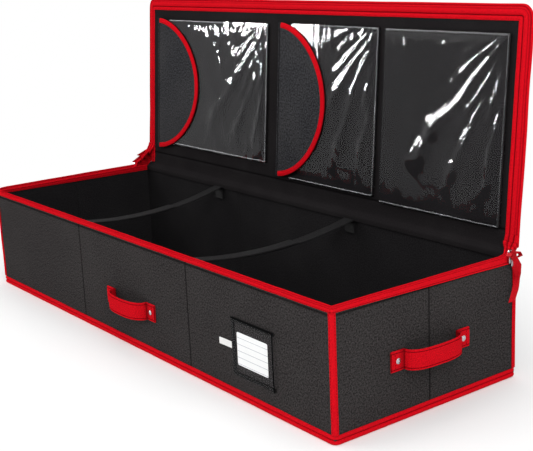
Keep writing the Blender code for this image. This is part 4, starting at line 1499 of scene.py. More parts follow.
@dataclass
class OuterPocket:
    """Full-width pocket on the left end: a slack cloth sheet, its floor and a red bound mouth."""

    wall: float = 0.51
    bulge: float = 0.016
    end: float = 0.172
    taper: float = 0.019
    low: float = 0.016
    high: float = 0.1865
    thick: float = 1.5 * MM
    near: float = 2.55 * MM

    def plan(self, inset: float = 0.0) -> list[Vector]:
        """Return the sheet's middle line in plan, back to front, with softly turned knees.

        Args:
            inset: Distance towards the wall.

        Returns:
            The points.
        """
        near, far = self.wall + self.near - inset, self.wall + self.bulge - self.thick / 2 - inset
        knee = self.end - self.taper
        corners = [(-near, self.end), (-far, knee), (-far, -knee), (-near, -self.end)]
        line: list[Point2] = [corners[0]]
        line += between(corners[0], corners[1], 4)
        line += between(corners[1], corners[2], 48)
        line += between(corners[2], corners[3], 4)
        line.append(corners[3])
        return [Vector((x, y, 0.0)) for x, y in line]

    def slack(self, y: float, z: float) -> float:
        """Return how far the cloth sinks towards the wall, nought round the handle.

        Args:
            y: Depth.
            z: Height.

        Returns:
            The distance.
        """
        open_top = max(0.0, (z - 0.13) / 0.056)
        loose = 0.5 + 0.5 * ripple(y / 0.09, z / 0.06, 11.0)
        held = min(1.0, max(0.0, math.hypot(max(0.0, abs(y) - 0.075), (z - 0.088) * 1.4) / 0.03 - 0.7))
        ends = min(1.0, (self.end - abs(y)) / 0.03)
        return (1.6 * MM * loose + 1.2 * MM * open_top * loose) * held * max(0.0, ends)

    def build(self, shop: Shop) -> None:
        """Build the sheet, the floor and the bound mouth.

        Args:
            shop: The finishes and trees.
        """
        line = self.plan()
        levels = steps(self.low, self.high, 0.007)
        rings, mouth = [], []
        for i, at in enumerate(line):
            out = heading(line, i).cross(UP)
            if out.x > 0:
                out = -out
            bound = at + UP * (self.high + 2.2 * MM) - out * self.slack(at.y, self.high)
            mouth.append(uneven(bound, 0.04, 0.3 * MM))
            ring = [at + UP * z + out * (self.thick / 2 - self.slack(at.y, z)) for z in levels]
            ring += [at + UP * z - out * (self.thick / 2 + self.slack(at.y, z)) for z in reversed(levels)]
            rings.append(ring)
        made = tube(rings, second=len(levels) - 1)
        sheet = made.piece("outer_pocket_cloth", shop.look(WALL_CLOTH), shop.look(LINING_CLOTH))
        nodes = ["outer_pocket_" + part for part in ("sheet", "gusset_back", "gusset_front")]
        dress(sheet, "box", Slot.FABRIC, *nodes)
        length = sum((b - a).length for a, b in zip(line, line[1:]))
        inner = self.plan(1.3 * MM)[2:-2]
        rows = []
        for p in inner:
            ring = []
            for x, z in ((p.x, self.low + self.thick), (-self.wall - 2.2 * MM, self.low + self.thick)):
                ring.append(Vector((x, p.y * 0.975, z)))
            for x in (-self.wall - 2.2 * MM, p.x):
                ring.append(Vector((x, p.y * 0.975, self.low)))
            rows.append(ring)
        piece = tube(rows).piece("outer_pocket_base", shop.look(WALL_CLOTH))
        dress(piece, "box", Slot.FABRIC, "outer_pocket_floor")
        edge = tube(swept(mouth, UP, ribbon_profile(5.2 * MM, 3.2 * MM, 0.2 * MM, 0.0, 8)))
        dress(edge.piece("outer_pocket_mouth", shop.look(RED_TAPE)), "box", Slot.RED, "outer_pocket_binding")
        shop.sew(
            "outer_pocket_stitches",
            [[p + Vector((-1.75 * MM, 0, -1.0 * MM)) for p in mouth[4:-4]]],
            RED_THREAD, "box", Slot.RED,
        )


def film_sheet(
    place: Placer, columns: Sequence[float], levels: Sequence[float], swell: Rise, thick: float
) -> Sketch:
    """Make a thin clear sheet with creases pressed into it.

    Args:
        place: Puts a point across, up and out of the sheet into the row frame.
        columns: Places across the sheet.
        levels: Places up the sheet.
        swell: Gives how far the sheet stands out at a place.
        thick: Its thickness.

    Returns:
        The sheet.
    """
    rings = []
    for a in columns:
        ring = [place(a, b, swell(a, b) + thick / 2) for b in levels]
        ring += [place(a, b, swell(a, b) - thick / 2) for b in reversed(levels)]
        rings.append(ring)
    return tube(rings)


def plate(outline: Sequence[Point2], thick: float, place: Placer, curl: Rise) -> Sketch:
    """Make a thin plate from an outline that a centre can see all of.

    Args:
        outline: Points round the plate.
        thick: Its thickness.
        place: Puts a point of the plate and its height into the row frame.
        curl: Gives how far the plate bends up at a place.

    Returns:
        The plate.
    """
    cx = sum(p[0] for p in outline) / len(outline)
    cy = sum(p[1] for p in outline) / len(outline)
    shares = (0.02, 0.25, 0.5, 0.75, 0.97, 1.0)
    rings = []
    for x, y in outline:
        ring = []
        for height in (thick, 0.0):
            for share in shares if height else shares[::-1]:
                px, py = cx + (x - cx) * share, cy + (y - cy) * share
                edge = 0.12 * thick if share == 1.0 else 0.0
                ring.append(place(px, py, curl(px, py) + (height - edge if height else edge)))
        rings.append(ring)
    made = tube(rings, loop=True)
    wide = 2 * len(shares)
    for first in (0, wide - 1):
        made.faces.append(tuple(first + wide * i for i in range(len(rings))))
        made.tones.append(0)
    flat = [(cx + (x - cx) * share, cy + (y - cy) * share) for x, y in outline for share in (*shares, *shares[::-1])]
    made.cloth = [tuple(flat[v] for v in face) for face in made.faces]
    return made


def rounded_outline(
    x: float, y: float, wide: float, high: float, corner: float, count: int = 5
) -> list[Point2]:
    """Return the outline of a rectangle with rounded corners, points close enough to bend.

    Args:
        x: Left edge.
        y: Lower edge.
        wide: Width.
        high: Height.
        corner: Radius of its corners.
        count: Steps round a corner.

    Returns:
        The points.
    """
    points: list[Point2] = []
    for cx, cy, first in (
        (x + wide - corner, y + high - corner, 0),
        (x + corner, y + high - corner, 90),
        (x + corner, y + corner, 180),
        (x + wide - corner, y + corner, 270),
    ):
        for i in range(count + 1):
            angle = math.radians(first + 90 * i / count)
            point = (cx + corner * math.cos(angle), cy + corner * math.sin(angle))
            if points:
                gap = math.hypot(point[0] - points[-1][0], point[1] - points[-1][1])
                points += between(points[-1], point, max(1, round(gap / 0.006)))
            points.append(point)
    return points


@dataclass
class Label:
    """The label holder on the front wall, its clear window and card, and a sewn side tag."""

    face: float = -0.1753
    left: float = 0.28897
    width: float = 0.099
    low: float = 0.036
    high: float = 0.124
    bar: float = 0.006
    shadow_strip_width: float = 0.0026
    card: tuple[float, float, float, float] = (0.29997, 0.053, 0.072, 0.050)
    tag: tuple[float, float, float, float] = (0.25597, 0.074, 0.030, 0.010)

    def build(self, shop: Shop) -> None:
        """Build the holder, window, card and tag.

        Args:
            shop: The finishes and trees.
        """
        right, middle = self.left + self.width, (self.low + self.high) / 2
        course = Course(
            (self.high - self.low) / 2 - self.bar / 2, self.left + self.bar / 2, right, 0.4 * MM, closed=False, turns=3
        )

        def on_wall(x: float, y: float, up: float) -> Vector:
            """Put a point of the course, which runs on its side, on the front wall."""
            return Vector((y, self.face - 0.8 * MM - up, middle + x))

        bars = course_band(course, ribbon_profile(self.bar, 1.5 * MM, 0.1 * MM, 0.0, 8), on_wall)
        dress(bars.piece("label_holder_edge", shop.look(LABEL_TAPE)), "box", Slot.STRAP, "label_holder")
        run = [on_wall(x, y, 0.85 * MM) for x, y in course.points(-1.2 * MM)]
        shop.sew("label_holder_stitches", [run], BLACK_THREAD, "box", Slot.STRAP, 3.4 * MM, 0.5 * MM)

        def swell(a: float, b: float) -> float:
            """Return how far the window's film stands out.

            Args:
                a: Place along the box.
                b: Height.

            Returns:
                The distance.
            """
            hold = min(1.0, (a - self.left) / 0.012, (self.high - b) / 0.012, (b - self.low) / 0.012)
            crease = 1 - abs(ripple(a / 0.05 + b / 0.03, b / 0.08, 3.0))
            return 0.25 * MM + max(0.0, hold) * (0.5 * MM * crease**3 + 0.5 * MM * (a - self.left) / self.width)

        window = film_sheet(
            lambda a, b, n: Vector((a, self.face - 1.9 * MM - n, b)),
            steps(self.left, right, 0.003), steps(self.low, self.high, 0.003), swell, 0.4 * MM,
        ).piece("label_window_film", shop.look(CLEAR_LABEL_FILM))
        dress(window, "box", Slot.CLEAR, "label_window")
        inner, under = right - self.shadow_strip_width, self.high - self.shadow_strip_width
        # Black strips along the film's top and open edges: painted shadow of the gap under its edge.
        for name, start, stop, foot in (
            ("label_film_top_edge", self.left, inner, under),
            ("label_film_mouth_edge", inner, right, self.low),
        ):
            strip = film_sheet(
                lambda a, b, n: Vector((a, self.face - 2.3 * MM - n, b)),
                steps(start, stop, 0.0013), steps(foot, self.high, 0.0013), swell, 0.3 * MM,
            ).piece(name, shop.look(LABEL_SHADOW_EDGE))
            dress(strip, "box", Slot.STRAP)
        x, z, wide, high = self.card
        card = plate(
            rounded_outline(x, z, wide, high, 2.5 * MM), 0.45 * MM,
            lambda a, b, n: Vector((a, self.face - 0.3 * MM - n, b)), lambda a, b: 0.0,
        )
        dress(card.piece("blank_card", shop.look(PLAIN_CARD)), "label_card", Slot.CARD, "label_card")
        x, z, wide, high = self.tag
        tag = plate(
            rounded_outline(x, z, wide, high, 0.5 * MM, 2), 0.7 * MM,
            lambda a, b, n: Vector((a, self.face - n, b)), lambda a, b: 0.8 * MM * max(0.0, (x + wide - a) / wide) ** 3,
        )
        dress(tag.piece("plain_side_tag", shop.look(TAG_CLOTH)), "box", Slot.CARD, "side_tag")


@dataclass
class Straps:
    """Two hook-and-loop straps over the box, each an upper half on a lower half."""

    width: float = 0.026
    thick: float = 1.8 * MM
    top: float = 0.1815
    sag: float = 0.016
    back: float = 0.1683
    front: float = -0.1674
    leg: float = 0.024
    lift: float = 2.1 * MM
    lower_stop: float = -0.06606
    upper_stop: float = 0.040176
    front_places: tuple[float, float] = (-0.16014, 0.18003)
    back_places: tuple[float, float] = (-0.23154, 0.15708)
    anchor: tuple[float, float, float, float] = (-0.1692, -0.1677, 0.1545, 0.1845)

    def height(self, y: float) -> float:
        """Return the height of the lower strap's middle line at a depth."""
        return self.top - self.sag * (1 - (y / self.back) ** 2)

    def build(self, shop: Shop) -> None:
        """Build both straps with their anchors and stitches.

        Args:
            shop: The finishes and trees.
        """
        profile = ribbon_profile(self.width, self.thick, 0.25 * MM, 0.0, 14)
        for label, front_x, back_x in zip(("left", "right"), self.front_places, self.back_places):
            slope = (back_x - front_x) / (self.back - self.front)

            def at(y: float, z: float) -> Vector:
                """Put a point of the strap's side view in place."""
                return Vector((front_x + slope * (y - self.front), y, z))

            lower = [at(self.back, z) for z in steps(self.top - self.leg, self.top - 0.004, 0.004)]
            lower += [at(self.back - 0.0006, self.top - 0.0018), at(self.back - 0.0022, self.top - 0.0006)]
            lower += [at(y, self.height(y)) for y in steps(self.lower_stop, self.back - 0.005, 0.006)][::-1]
            upper = [at(y, self.height(y) + self.lift) for y in steps(self.front, self.upper_stop, 0.006)]
            for part, line, body, node in (
                ("lower", lower, "box", "strap_%s_lower" % label),
                ("upper", upper, "strap_%s" % label, "strap_%s_upper" % label),
            ):
                name = "strap_%s_%s_web" % (label, part)
                rings = []
                for ring in swept(line, RIGHT, profile):
                    middle = sum(ring, Vector()) / len(ring)
                    shake = noise.noise_vector(middle / 0.05) * 0.5 * MM
                    shift = Vector((shake.x, 0.0, shake.z * (0.4 if part == "upper" else -0.4)))
                    rings.append([p + shift for p in ring])
                dress(tube(rings).piece(name, shop.look(BLACK_WEB)), body, Slot.STRAP, node)
                lines = []
                for across in (-0.42, 0.42):
                    run = swept(line, RIGHT, [(across * self.width, self.thick / 2 + 0.2 * MM)])
                    lines.append([ring[0] for ring in run])
                inset = [ring[0] for ring in swept(line, RIGHT, [(0.0, self.thick / 2 + 0.2 * MM)])]
                end = inset[-2]
                lines.append([end + RIGHT * (self.width * t / 14) for t in range(-6, 7)])
                shop.sew(name + "_stitches", lines, BLACK_THREAD, body, Slot.STRAP, 3.6 * MM, 0.5 * MM)
            near, far, low, high = self.anchor
            board = Board(
                Vector((front_x - self.width / 2, near, low)), RIGHT, UP, -BACK,
                self.width, high - low, far - near, cross_seams=(0.004, high - low - 0.004), step=0.003,
                groove=0.3 * MM, wave=0.1 * MM,
            )
            piece = board.sketch().piece("strap_%s_root" % label, shop.look(BLACK_WEB), shop.look(BLACK_WEB))
            dress(piece, "box", Slot.STRAP, "strap_%s_anchor" % label)


@dataclass
class ZipPulls:
    """The two zip sliders outside the rim, their tabs, and a ribbon tied to the right one."""

    root: float = 0.5118
    thick: float = 5.0 * MM
    length: float = 0.010
    low: float = 0.178
    high: float = 0.198
    places: tuple[float, float] = (0.149975, 0.15995)
    ribbon_width: float = 12.0 * MM
    bow: Triple = (0.5193, -0.0005, 0.1915)
    tab_form: tuple[Point2, ...] = (
        (0.0, 0.5), (0.06, 0.9), (0.5, 1.0), (0.9, 1.0), (1.0, 0.55), (1.0, 0.45), (0.9, 0.0), (0.5, 0.0), (0.06, 0.1)
    )
    ribbon_paths: tuple[tuple[tuple[float, float, float, float, float], ...], ...] = (
        ((0.6, 1.0, -4.0, 0.7, 0.6), (1.2, 5.0, -18.0, 0.9, 1.0),
         (0.8, 8.5, -36.0, 1.3, 0.7), (0.8, 4.0, -54.0, 0.6, 0.85),
         (0.6, -3.0, -70.0, 0.5, 0.85)),
        ((1.6, 2.0, -4.0, 0.9, 0.6), (2.4, 8.0, -16.0, 0.8, 0.8),
         (2.0, 10.5, -30.0, 1.0, 0.5), (1.4, 9.5, -42.0, 0.6, 0.3)),
        ((0.8, -1.0, 1.0, 1.2, 0.45), (1.0, -8.0, 4.5, 1.3, 0.7),
         (1.6, -11.5, 0.5, 1.4, 0.6), (1.2, -5.0, -3.0, 1.3, 0.45)),
        ((0.8, 1.0, 1.0, 1.2, 0.45), (1.4, 9.0, 3.5, 1.3, 0.7),
         (2.0, 14.0, -3.0, 1.4, 0.6), (1.2, 7.0, -5.0, 1.3, 0.45)),
    )

    def slider(self, sign: int, y: float) -> Sketch:
        """Loft a slider body with its waist and bridge.

        Args:
            sign: -1 on the left side, 1 on the right.
            y: Its place along the zip.

        Returns:
            The slider.
        """
        middle = self.root + self.thick / 2
        shape = (
            (0.0, 0.55), (0.03, 0.85), (0.10, 1.0), (0.26, 0.97), (0.36, 0.72), (0.42, 0.62), (0.48, 0.62),
            (0.54, 0.72), (0.66, 0.97), (0.88, 1.0), (0.97, 0.85), (1.0, 0.5),
        )
        rings = []
        for share, wide in shape:
            ring = []
            for k in range(24):
                angle = 2 * math.pi * k / 24
                a = math.copysign(abs(math.cos(angle)) ** 0.45, math.cos(angle)) * self.thick / 2 * wide
                b = math.copysign(abs(math.sin(angle)) ** 0.45, math.sin(angle)) * self.length / 2
                b *= 0.35 + 0.65 * wide
                ring.append(Vector((sign * (middle + a), y + b, self.low + (self.high - self.low) * share)))
            rings.append(ring)
        return tube(rings)

    def tab(self, place: Placer, box: tuple[float, float, float, float], thick: float) -> Sketch:
        """Cut a pull tab: a rounded plate with an eye, as a ring of faces round the eye.

        Args:
            place: Puts a point along, across and up from the tab into the row frame.
            box: Start, end, and both edges of the tab.
            thick: Its thickness.

        Returns:
            The tab.
        """
        start, stop, low, high = box
        wide = high - low
        rings = []
        for k in range(48):
            angle = 2 * math.pi * k / 48
            c, s = math.cos(angle), math.sin(angle)
            outer = (
                (start + stop) / 2 + math.copysign(abs(c) ** 0.5, c) * (stop - start) / 2,
                (low + high) / 2 + math.copysign(abs(s) ** 0.62, s) * wide / 2,
            )
            eye = (start + (stop - start) * 0.26 + c * wide * 0.2, (low + high) / 2 + s * wide * 0.2)
            ring = []
            for share, lift in self.tab_form:
                at = [near + (far - near) * share for near, far in zip(eye, outer)]
                ring.append(place(*at, thick * lift))
            rings.append(ring)
        return tube(rings, loop=True)

    def ribbon(self) -> Sketch:
        """Tie the ribbon round the pull: a knot, two short loops and two tails that twist as they hang.

        Returns:
            The ribbon.
        """
        knot = Vector((self.bow[0], self.places[1] + self.bow[1], self.bow[2]))
        made = Sketch()
        rings = []
        for i in range(13):
            t = i / 12
            bulge = math.sin(math.pi * t) ** 0.6
            ring = []
            for k in range(20):
                angle = 2 * math.pi * k / 20
                fold = 1 + 0.14 * math.cos(5 * angle + 7 * t) + 0.08 * math.sin(9 * angle - 11 * t)
                ring.append(knot + Vector((
                    2.6 * MM * bulge * math.cos(angle) * fold,
                    6.2 * MM * bulge * math.sin(angle) * fold + 1.2 * MM * (t - 0.5),
                    8.2 * MM * (1 - 2 * t),
                )))
            rings.append(ring)
        made.tube(rings)
        profile = ribbon_profile(self.ribbon_width, 0.5 * MM, 0.05 * MM, 0.0, 8)
        for path in self.ribbon_paths:
            line, sides, widths = [], [], []
            for i in range(25):
                t = i / 24 * (len(path) - 1)
                k = min(int(t), len(path) - 2)
                f = t - k
                f = f * f * (3 - 2 * f)
                x, y, z, turn, wide = (a + (b - a) * f for a, b in zip(path[k], path[k + 1]))
                line.append(knot + Vector((x * MM, y * MM, z * MM)))
                sides.append(Vector((math.sin(turn), math.cos(turn) * 0.9, math.cos(turn) * 0.25)).normalized())
                widths.append(wide)
            rings = []
            for share, ring, at in zip(widths, swept(line, sides, profile), line):
                rings.append([at + (p - at) * share for p in ring])
            made.tube(rings)
        return made

    def build(self, shop: Shop) -> None:
        """Build the sliders, tabs and ribbon.

        Args:
            shop: The finishes and trees.
        """
        metal = shop.look(PLATED)
        for label, sign, y in (("left", -1, self.places[0]), ("right", 1, self.places[1])):
            body = self.slider(sign, y).piece("slider_body_" + label, metal)
            dress(body, "slider_" + label, Slot.METAL, "zip_slider_" + label)
        low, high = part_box("pull_tab_left")
        left = self.tab(
            lambda a, b, up: Vector((high.x - a, low.y + b, low.z + up)),
            (0.0, high.x - low.x, 0.0, high.y - low.y), high.z - low.z,
        )
        dress(left.piece("pull_plate_left", metal), "pull_left", Slot.METAL, "pull_tab_left")
        low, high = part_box("pull_tab_right")
        right = self.tab(
            lambda a, b, up: Vector((low.x + up, low.y + b, high.z - a)),
            (0.0, high.z - low.z, 0.0, high.y - low.y), high.x - low.x,
        )
        dress(right.piece("pull_plate_right", metal), "pull_right", Slot.METAL, "pull_tab_right")
        tied = self.ribbon().piece("tied_ribbon", shop.look(RED_SATIN))
        x, y = self.bow[0], self.places[1] + self.bow[1]
        bend(tied, Slot.RED, ("slider_right", "pull_right"), (x, y, 0.1855), (x, y, 0.1765), "pull_ribbon")


HINGE = Vector((0.0, 0.1768, 0.1888))
LID_OPEN = Matrix.Translation(HINGE) @ Matrix.Rotation(-math.radians(94.53), 4, "X")
LID_OUT = (LID_OPEN.to_3x3() @ UP).normalized()
LID_UP = (LID_OPEN.to_3x3() @ -BACK).normalized()


def on_lid(x: float, u: float, z: float) -> Vector:
    """Place a point of the lid: x along, u from the hinge, z out of the closed box."""
    return LID_OPEN @ Vector((x, -u, z))


@dataclass
class Lid:
    """The lid: a stiff cloth panel, a piped border, its half of the zip and the cloth hinge."""

    half: float = 0.4941
    start: float = 0.006
    reach: float = 0.3369
    under: float = 1.8 * MM
    over: float = 5.8 * MM
    crease: float = 0.030
    seam_places: tuple[float, ...] = (-0.17, 0.17)
    piping: tuple[Point2, ...] = (
        (-7.4, 1.55), (-7.2, 0.9), (-6.2, 0.5), (-4.8, 0.35), (-3.4, 0.45), (-2.2, 0.8), (-1.2, 1.5), (-0.4, 2.6),
        (0.2, 2.7), (0.8, 1.5), (1.7, 0.7), (3.1, 0.3), (4.8, 0.25), (6.4, 0.45), (7.2, 0.8), (7.3, 1.6), (6.6, 4.7),
        (5.5, 6.1), (4.3, 6.8), (3.0, 7.0), (1.8, 6.8), (0.8, 6.1), (0.35, 5.0), (0.35, 1.75),
    )
    tape: tuple[Point2, ...] = (
        (5.6, 2.6), (5.9, 1.2), (6.9, 0.62), (8.2, 0.85), (9.2, 1.45), (10.3, 1.5), (11.3, 1.5), (12.0, 1.7),
        (12.6, 2.1), (13.1, 2.3), (13.6, 2.1), (14.2, 1.7), (15.2, 1.8), (16.0, 2.4), (16.4, 3.1), (16.5, 3.9),
        (16.0, 4.9), (15.0, 5.3), (13.9, 4.9), (13.2, 4.3), (12.0, 4.1), (10.4, 4.1), (8.4, 4.1), (6.8, 3.9),
    )

    turn: tuple[tuple[float, float, float, float], ...] = (
        (147.0, 188.3, 503.4, 511.0), (152.0, 188.7, 503.2, 511.0), (157.0, 189.6, 502.6, 511.0),
        (161.5, 192.2, 500.5, 511.2), (163.6, 194.6, 498.5, 511.2), (166.0, 192.6, 497.0, 510.9),
        (168.0, 196.0, 494.5, 511.2), (169.6, 198.4, 492.5, 511.1), (171.6, 196.2, 491.0, 510.8),
        (173.2, 199.8, 489.0, 511.0), (174.6, 202.6, 487.8, 510.9), (176.2, 200.6, 487.2, 510.6),
        (177.6, 204.6, 487.0, 510.6), (178.6, 209.0, 487.0, 510.6), (180.6, 214.0, 487.2, 510.6),
    )
    turn_left: tuple[tuple[float, float, float, float], ...] = (
        (138.0, 188.3, 503.4, 511.0), (142.5, 190.5, 503.2, 511.0), (145.0, 198.0, 503.0, 511.2),
        (150.5, 201.5, 502.5, 511.4), (153.6, 204.4, 501.0, 511.4), (153.4, 199.6, 502.0, 511.0),
        (160.0, 210.0, 500.0, 511.4), (163.5, 214.0, 497.5, 511.2), (161.8, 206.5, 499.0, 511.0),
        (169.5, 219.5, 496.0, 511.0), (173.0, 222.0, 492.0, 510.8), (171.2, 215.0, 494.5, 510.8),
        (178.0, 227.0, 489.0, 510.6), (180.3, 231.0, 487.5, 510.6), (182.0, 236.0, 487.2, 510.6),
    )
    skirts: tuple[float, float] = (3.9, 0.0)
    # Rings of the corner tape at its pleats, which get painted shade.
    folded: tuple[int, ...] = (5, 8, 11)
    corner_back: float = 0.183
    lining_half: float = 0.5038
    lining_step: tuple[float, float] = (0.4935, 0.4965)
    lining: tuple[Point2, ...] = (
        (168.6, 179.0), (168.7, 182.0), (168.8, 185.0), (169.5, 187.3), (171.0, 188.4), (172.6, 189.6), (174.0, 191.2),
        (175.6, 192.6), (177.0, 194.0), (178.0, 196.0), (178.6, 199.0), (179.0, 202.5), (179.5, 206.0),
    )
    pleat: tuple[Point2, ...] = (
        (0.0, -0.8), (0.0, 0.5), (0.08, 1.0), (0.22, 1.1), (0.34, 0.4), (0.46, 1.1), (0.62, 1.2), (0.74, 0.4),
        (0.84, 1.0), (0.95, 0.9), (1.0, 0.3), (1.01, -2.0), (1.0, -4.0), (0.98, -6.2), (0.9, -6.4), (0.87, -4.0),
        (0.86, -1.0), (0.5, -1.1),
    )

    def wave(self, x: float, u: float, out: float) -> float:
        """Return how far the border's loose outer edge waves away from the box.

        Args:
            x: Place along the lid.
            u: Distance from the hinge.
            out: Distance past the panel's edge.

        Returns:
            The distance.
        """
        loose = max(0.0, (out - 0.006) / 0.0104) ** 1.6
        along = 0.5 + 0.5 * ripple(x / 0.07, u / 0.07, 21.0)
        hinge = min(1.0, max(0.0, (u - 0.05) / 0.06))
        return 2.6 * MM * loose * along * hinge

    def border(self, x: float, u: float, z: float) -> Vector:
        """Place a point of the border with its wave and slight unevenness."""
        out = max(abs(x) - self.half, u - self.reach, 0.0)
        return uneven(on_lid(x, u, z + self.wave(x, u, out)), 0.05, 0.3 * MM)

    def build(self, shop: Shop) -> None:
        """Build the panel, border, zip and hinge.

        Args:
            shop: The finishes and trees.
        """
        board = Board(
            on_lid(-self.half, self.start, self.under), RIGHT, LID_UP, -LID_OUT,
            2 * self.half, self.reach - self.start, self.over - self.under, (), (self.crease - self.start,),
            tuple(self.half + s for s in self.seam_places), 31.0, groove=1.0 * MM, wave=0.7 * MM,
        )
        panel = board.sketch().piece("lid_panel_cloth", shop.look(LID_CLOTH), shop.look(WALL_CLOTH))
        dress(panel, "lid", Slot.FABRIC, "lid_panel")

        def place(x: float, y: float, z: float) -> Vector:
            """Put a point of a course, whose front is the lid's far edge, on the lid."""
            return self.border(x, -y, z)

        course = Course(self.half, -self.reach, -0.008, 4.0 * MM, closed=False)
        piping = [(n * MM, z * MM) for n, z in self.piping]
        tape = [(n * MM, z * MM) for n, z in self.tape]
        for name, profile, node in (("lid_piping", piping, "lid_binding"), ("lid_zip_strip", tape, "lid_zip_tape")):
            band = course_band(course, profile, place).piece(name, shop.look(RED_TAPE))
            dress(band, "lid", Slot.RED, node)
        teeth = [place(x, y, 1.75 * MM) for x, y in course.points(0.0131)]
        shop.zip_teeth("lid_zip_coil", [teeth], LID_OUT, "lid")
        lines = []
        for out, z in ((-0.0050, 0.55), (0.0080, 1.45)):
            lines.append([place(x, y, z * MM) for x, y in course.points(out)])
        shop.sew("lid_border_stitches", lines, RED_THREAD, "lid", Slot.RED)
        self.hinge(shop)
        self.zip_corners(shop)

    def zip_corners(self, shop: Shop) -> None:
        """Build the pleated tape that turns from the rim up to the lid at both back corners.

        Args:
            shop: The finishes and trees.
        """
        for label, sign, turn, skirt in (
            ("left", -1, self.turn_left, self.skirts[0]),
            ("right", 1, self.turn, self.skirts[1]),
        ):
            rings = []
            for i, (y, z, inner, outer) in enumerate(turn):
                before, after = turn[max(i - 1, 0)], turn[min(i + 1, len(turn) - 1)]
                ahead = Vector((0, after[0] - before[0], after[1] - before[1])).normalized()
                out = Vector((0, -ahead.z, ahead.y))
                deep = 1 + skirt * math.sin(math.pi * i / (len(turn) - 1))
                ring = []
                for share, lift in self.pleat:
                    lift *= deep if lift < -1.5 else 1.0
                    at = Vector((sign * (inner + (outer - inner) * share) * MM, y * MM, z * MM)) + out * lift * MM
                    at.y = min(at.y, self.corner_back)
                    ring.append(uneven(at, 0.009, 0.8 * MM))
                rings.append(ring)
            sketch = tube(rings)
            wide = len(self.pleat)
            # Painted shade in the pleats' creases, and across the rings listed in folded.
            for i in range(len(rings)):
                for j, depth in enumerate(creases([(a * 12, b) for a, b in self.pleat])):
                    sketch.folds[i * wide + j] = max(depth, 0.75 if i in self.folded else 0.0)
            piece = sketch.piece("zip_corner_" + label, shop.look(RED_TAPE))
            bend(piece, Slot.RED, ("box", "lid"), (0.0, 0.163, 0.1905), (0.0, 0.178, 0.205))

    def hinge(self, shop: Shop) -> None:
        """Build the rolled welt, the tape under the panel and the cloth that turns over the hinge.

        Args:
            shop: The finishes and trees.
        """
        low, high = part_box("hinge_welt")
        middle = (low + high) / 2
        line = [Vector((x, middle.y, middle.z)) for x in steps(low.x, high.x, 0.012)]
        roll = tube(swept(line, UP, round_profile(3.0 * MM, 3.0 * MM, 12)))
        dress(roll.piece("hinge_roll", shop.look(BLACK_PIPING)), "box", Slot.FABRIC, "hinge_welt")
        rows = []
        for x in steps(-self.half, self.half, 0.010):
            outline = ((0.0016, 1.85), (0.0056, 1.85), (0.0057, 2.2), (0.0052, 2.55), (0.0018, 2.55), (0.0015, 2.2))
            rows.append([on_lid(x, u, z * MM) for u, z in outline])
        dress(tube(rows).piece("lid_root_tape", shop.look(LID_CLOTH)), "lid", Slot.FABRIC, "lid_hinge_tape")
        back = self.half - 0.002
        path = [(0.1778, 0.150), (0.1778, 0.160), (0.1780, 0.170), (0.1783, 0.178), (0.1790, 0.184), (0.1800, 0.190)]
        path += [(0.1822, 0.196), (0.1843, 0.203), (0.1852, 0.212), (0.1860, 0.222), (0.1868, 0.232)]
        rows = []
        for x in steps(-back, back, 0.010):
            outer = [uneven(Vector((x, y + 0.5 * MM, z)), 0.03, 0.3 * MM) for y, z in path]
            inner = [uneven(Vector((x, y - 0.3 * MM, z)), 0.03, 0.3 * MM) for y, z in reversed(path)]
            rows.append(outer + inner)
        strip = tube(rows).piece("hinge_cloth", shop.look(WALL_CLOTH))
        bend(strip, Slot.FABRIC, ("box", "lid"), (0.0, HINGE.y, HINGE.z - 0.010), (0.0, HINGE.y, HINGE.z + 0.012))
        rows = []
        inside, outside = self.lining_step
        for x in steps(-self.lining_half, self.lining_half, 0.010, (-outside, -inside, inside, outside)):
            tuck = 3.0 * MM * min(1.0, max(0.0, (abs(x) - inside) / 0.003))
            outer, inner = [], []
            for y, z in self.lining:
                at = Vector((x, y * MM + (tuck if z > 194.5 else 0.0), z * MM))
                outer.append(uneven(at, 0.03, 0.3 * MM))
                inner.append(uneven(at + Vector((0.0, 0.5 * MM, -0.25 * MM)), 0.03, 0.3 * MM))
            rows.append(outer + inner[::-1])
        strip = tube(rows).piece("hinge_lining", shop.look(LID_CLOTH))
        bend(strip, Slot.FABRIC, ("box", "lid"), (0.0, 0.1725, 0.1880), (0.0, 0.1785, 0.1975))


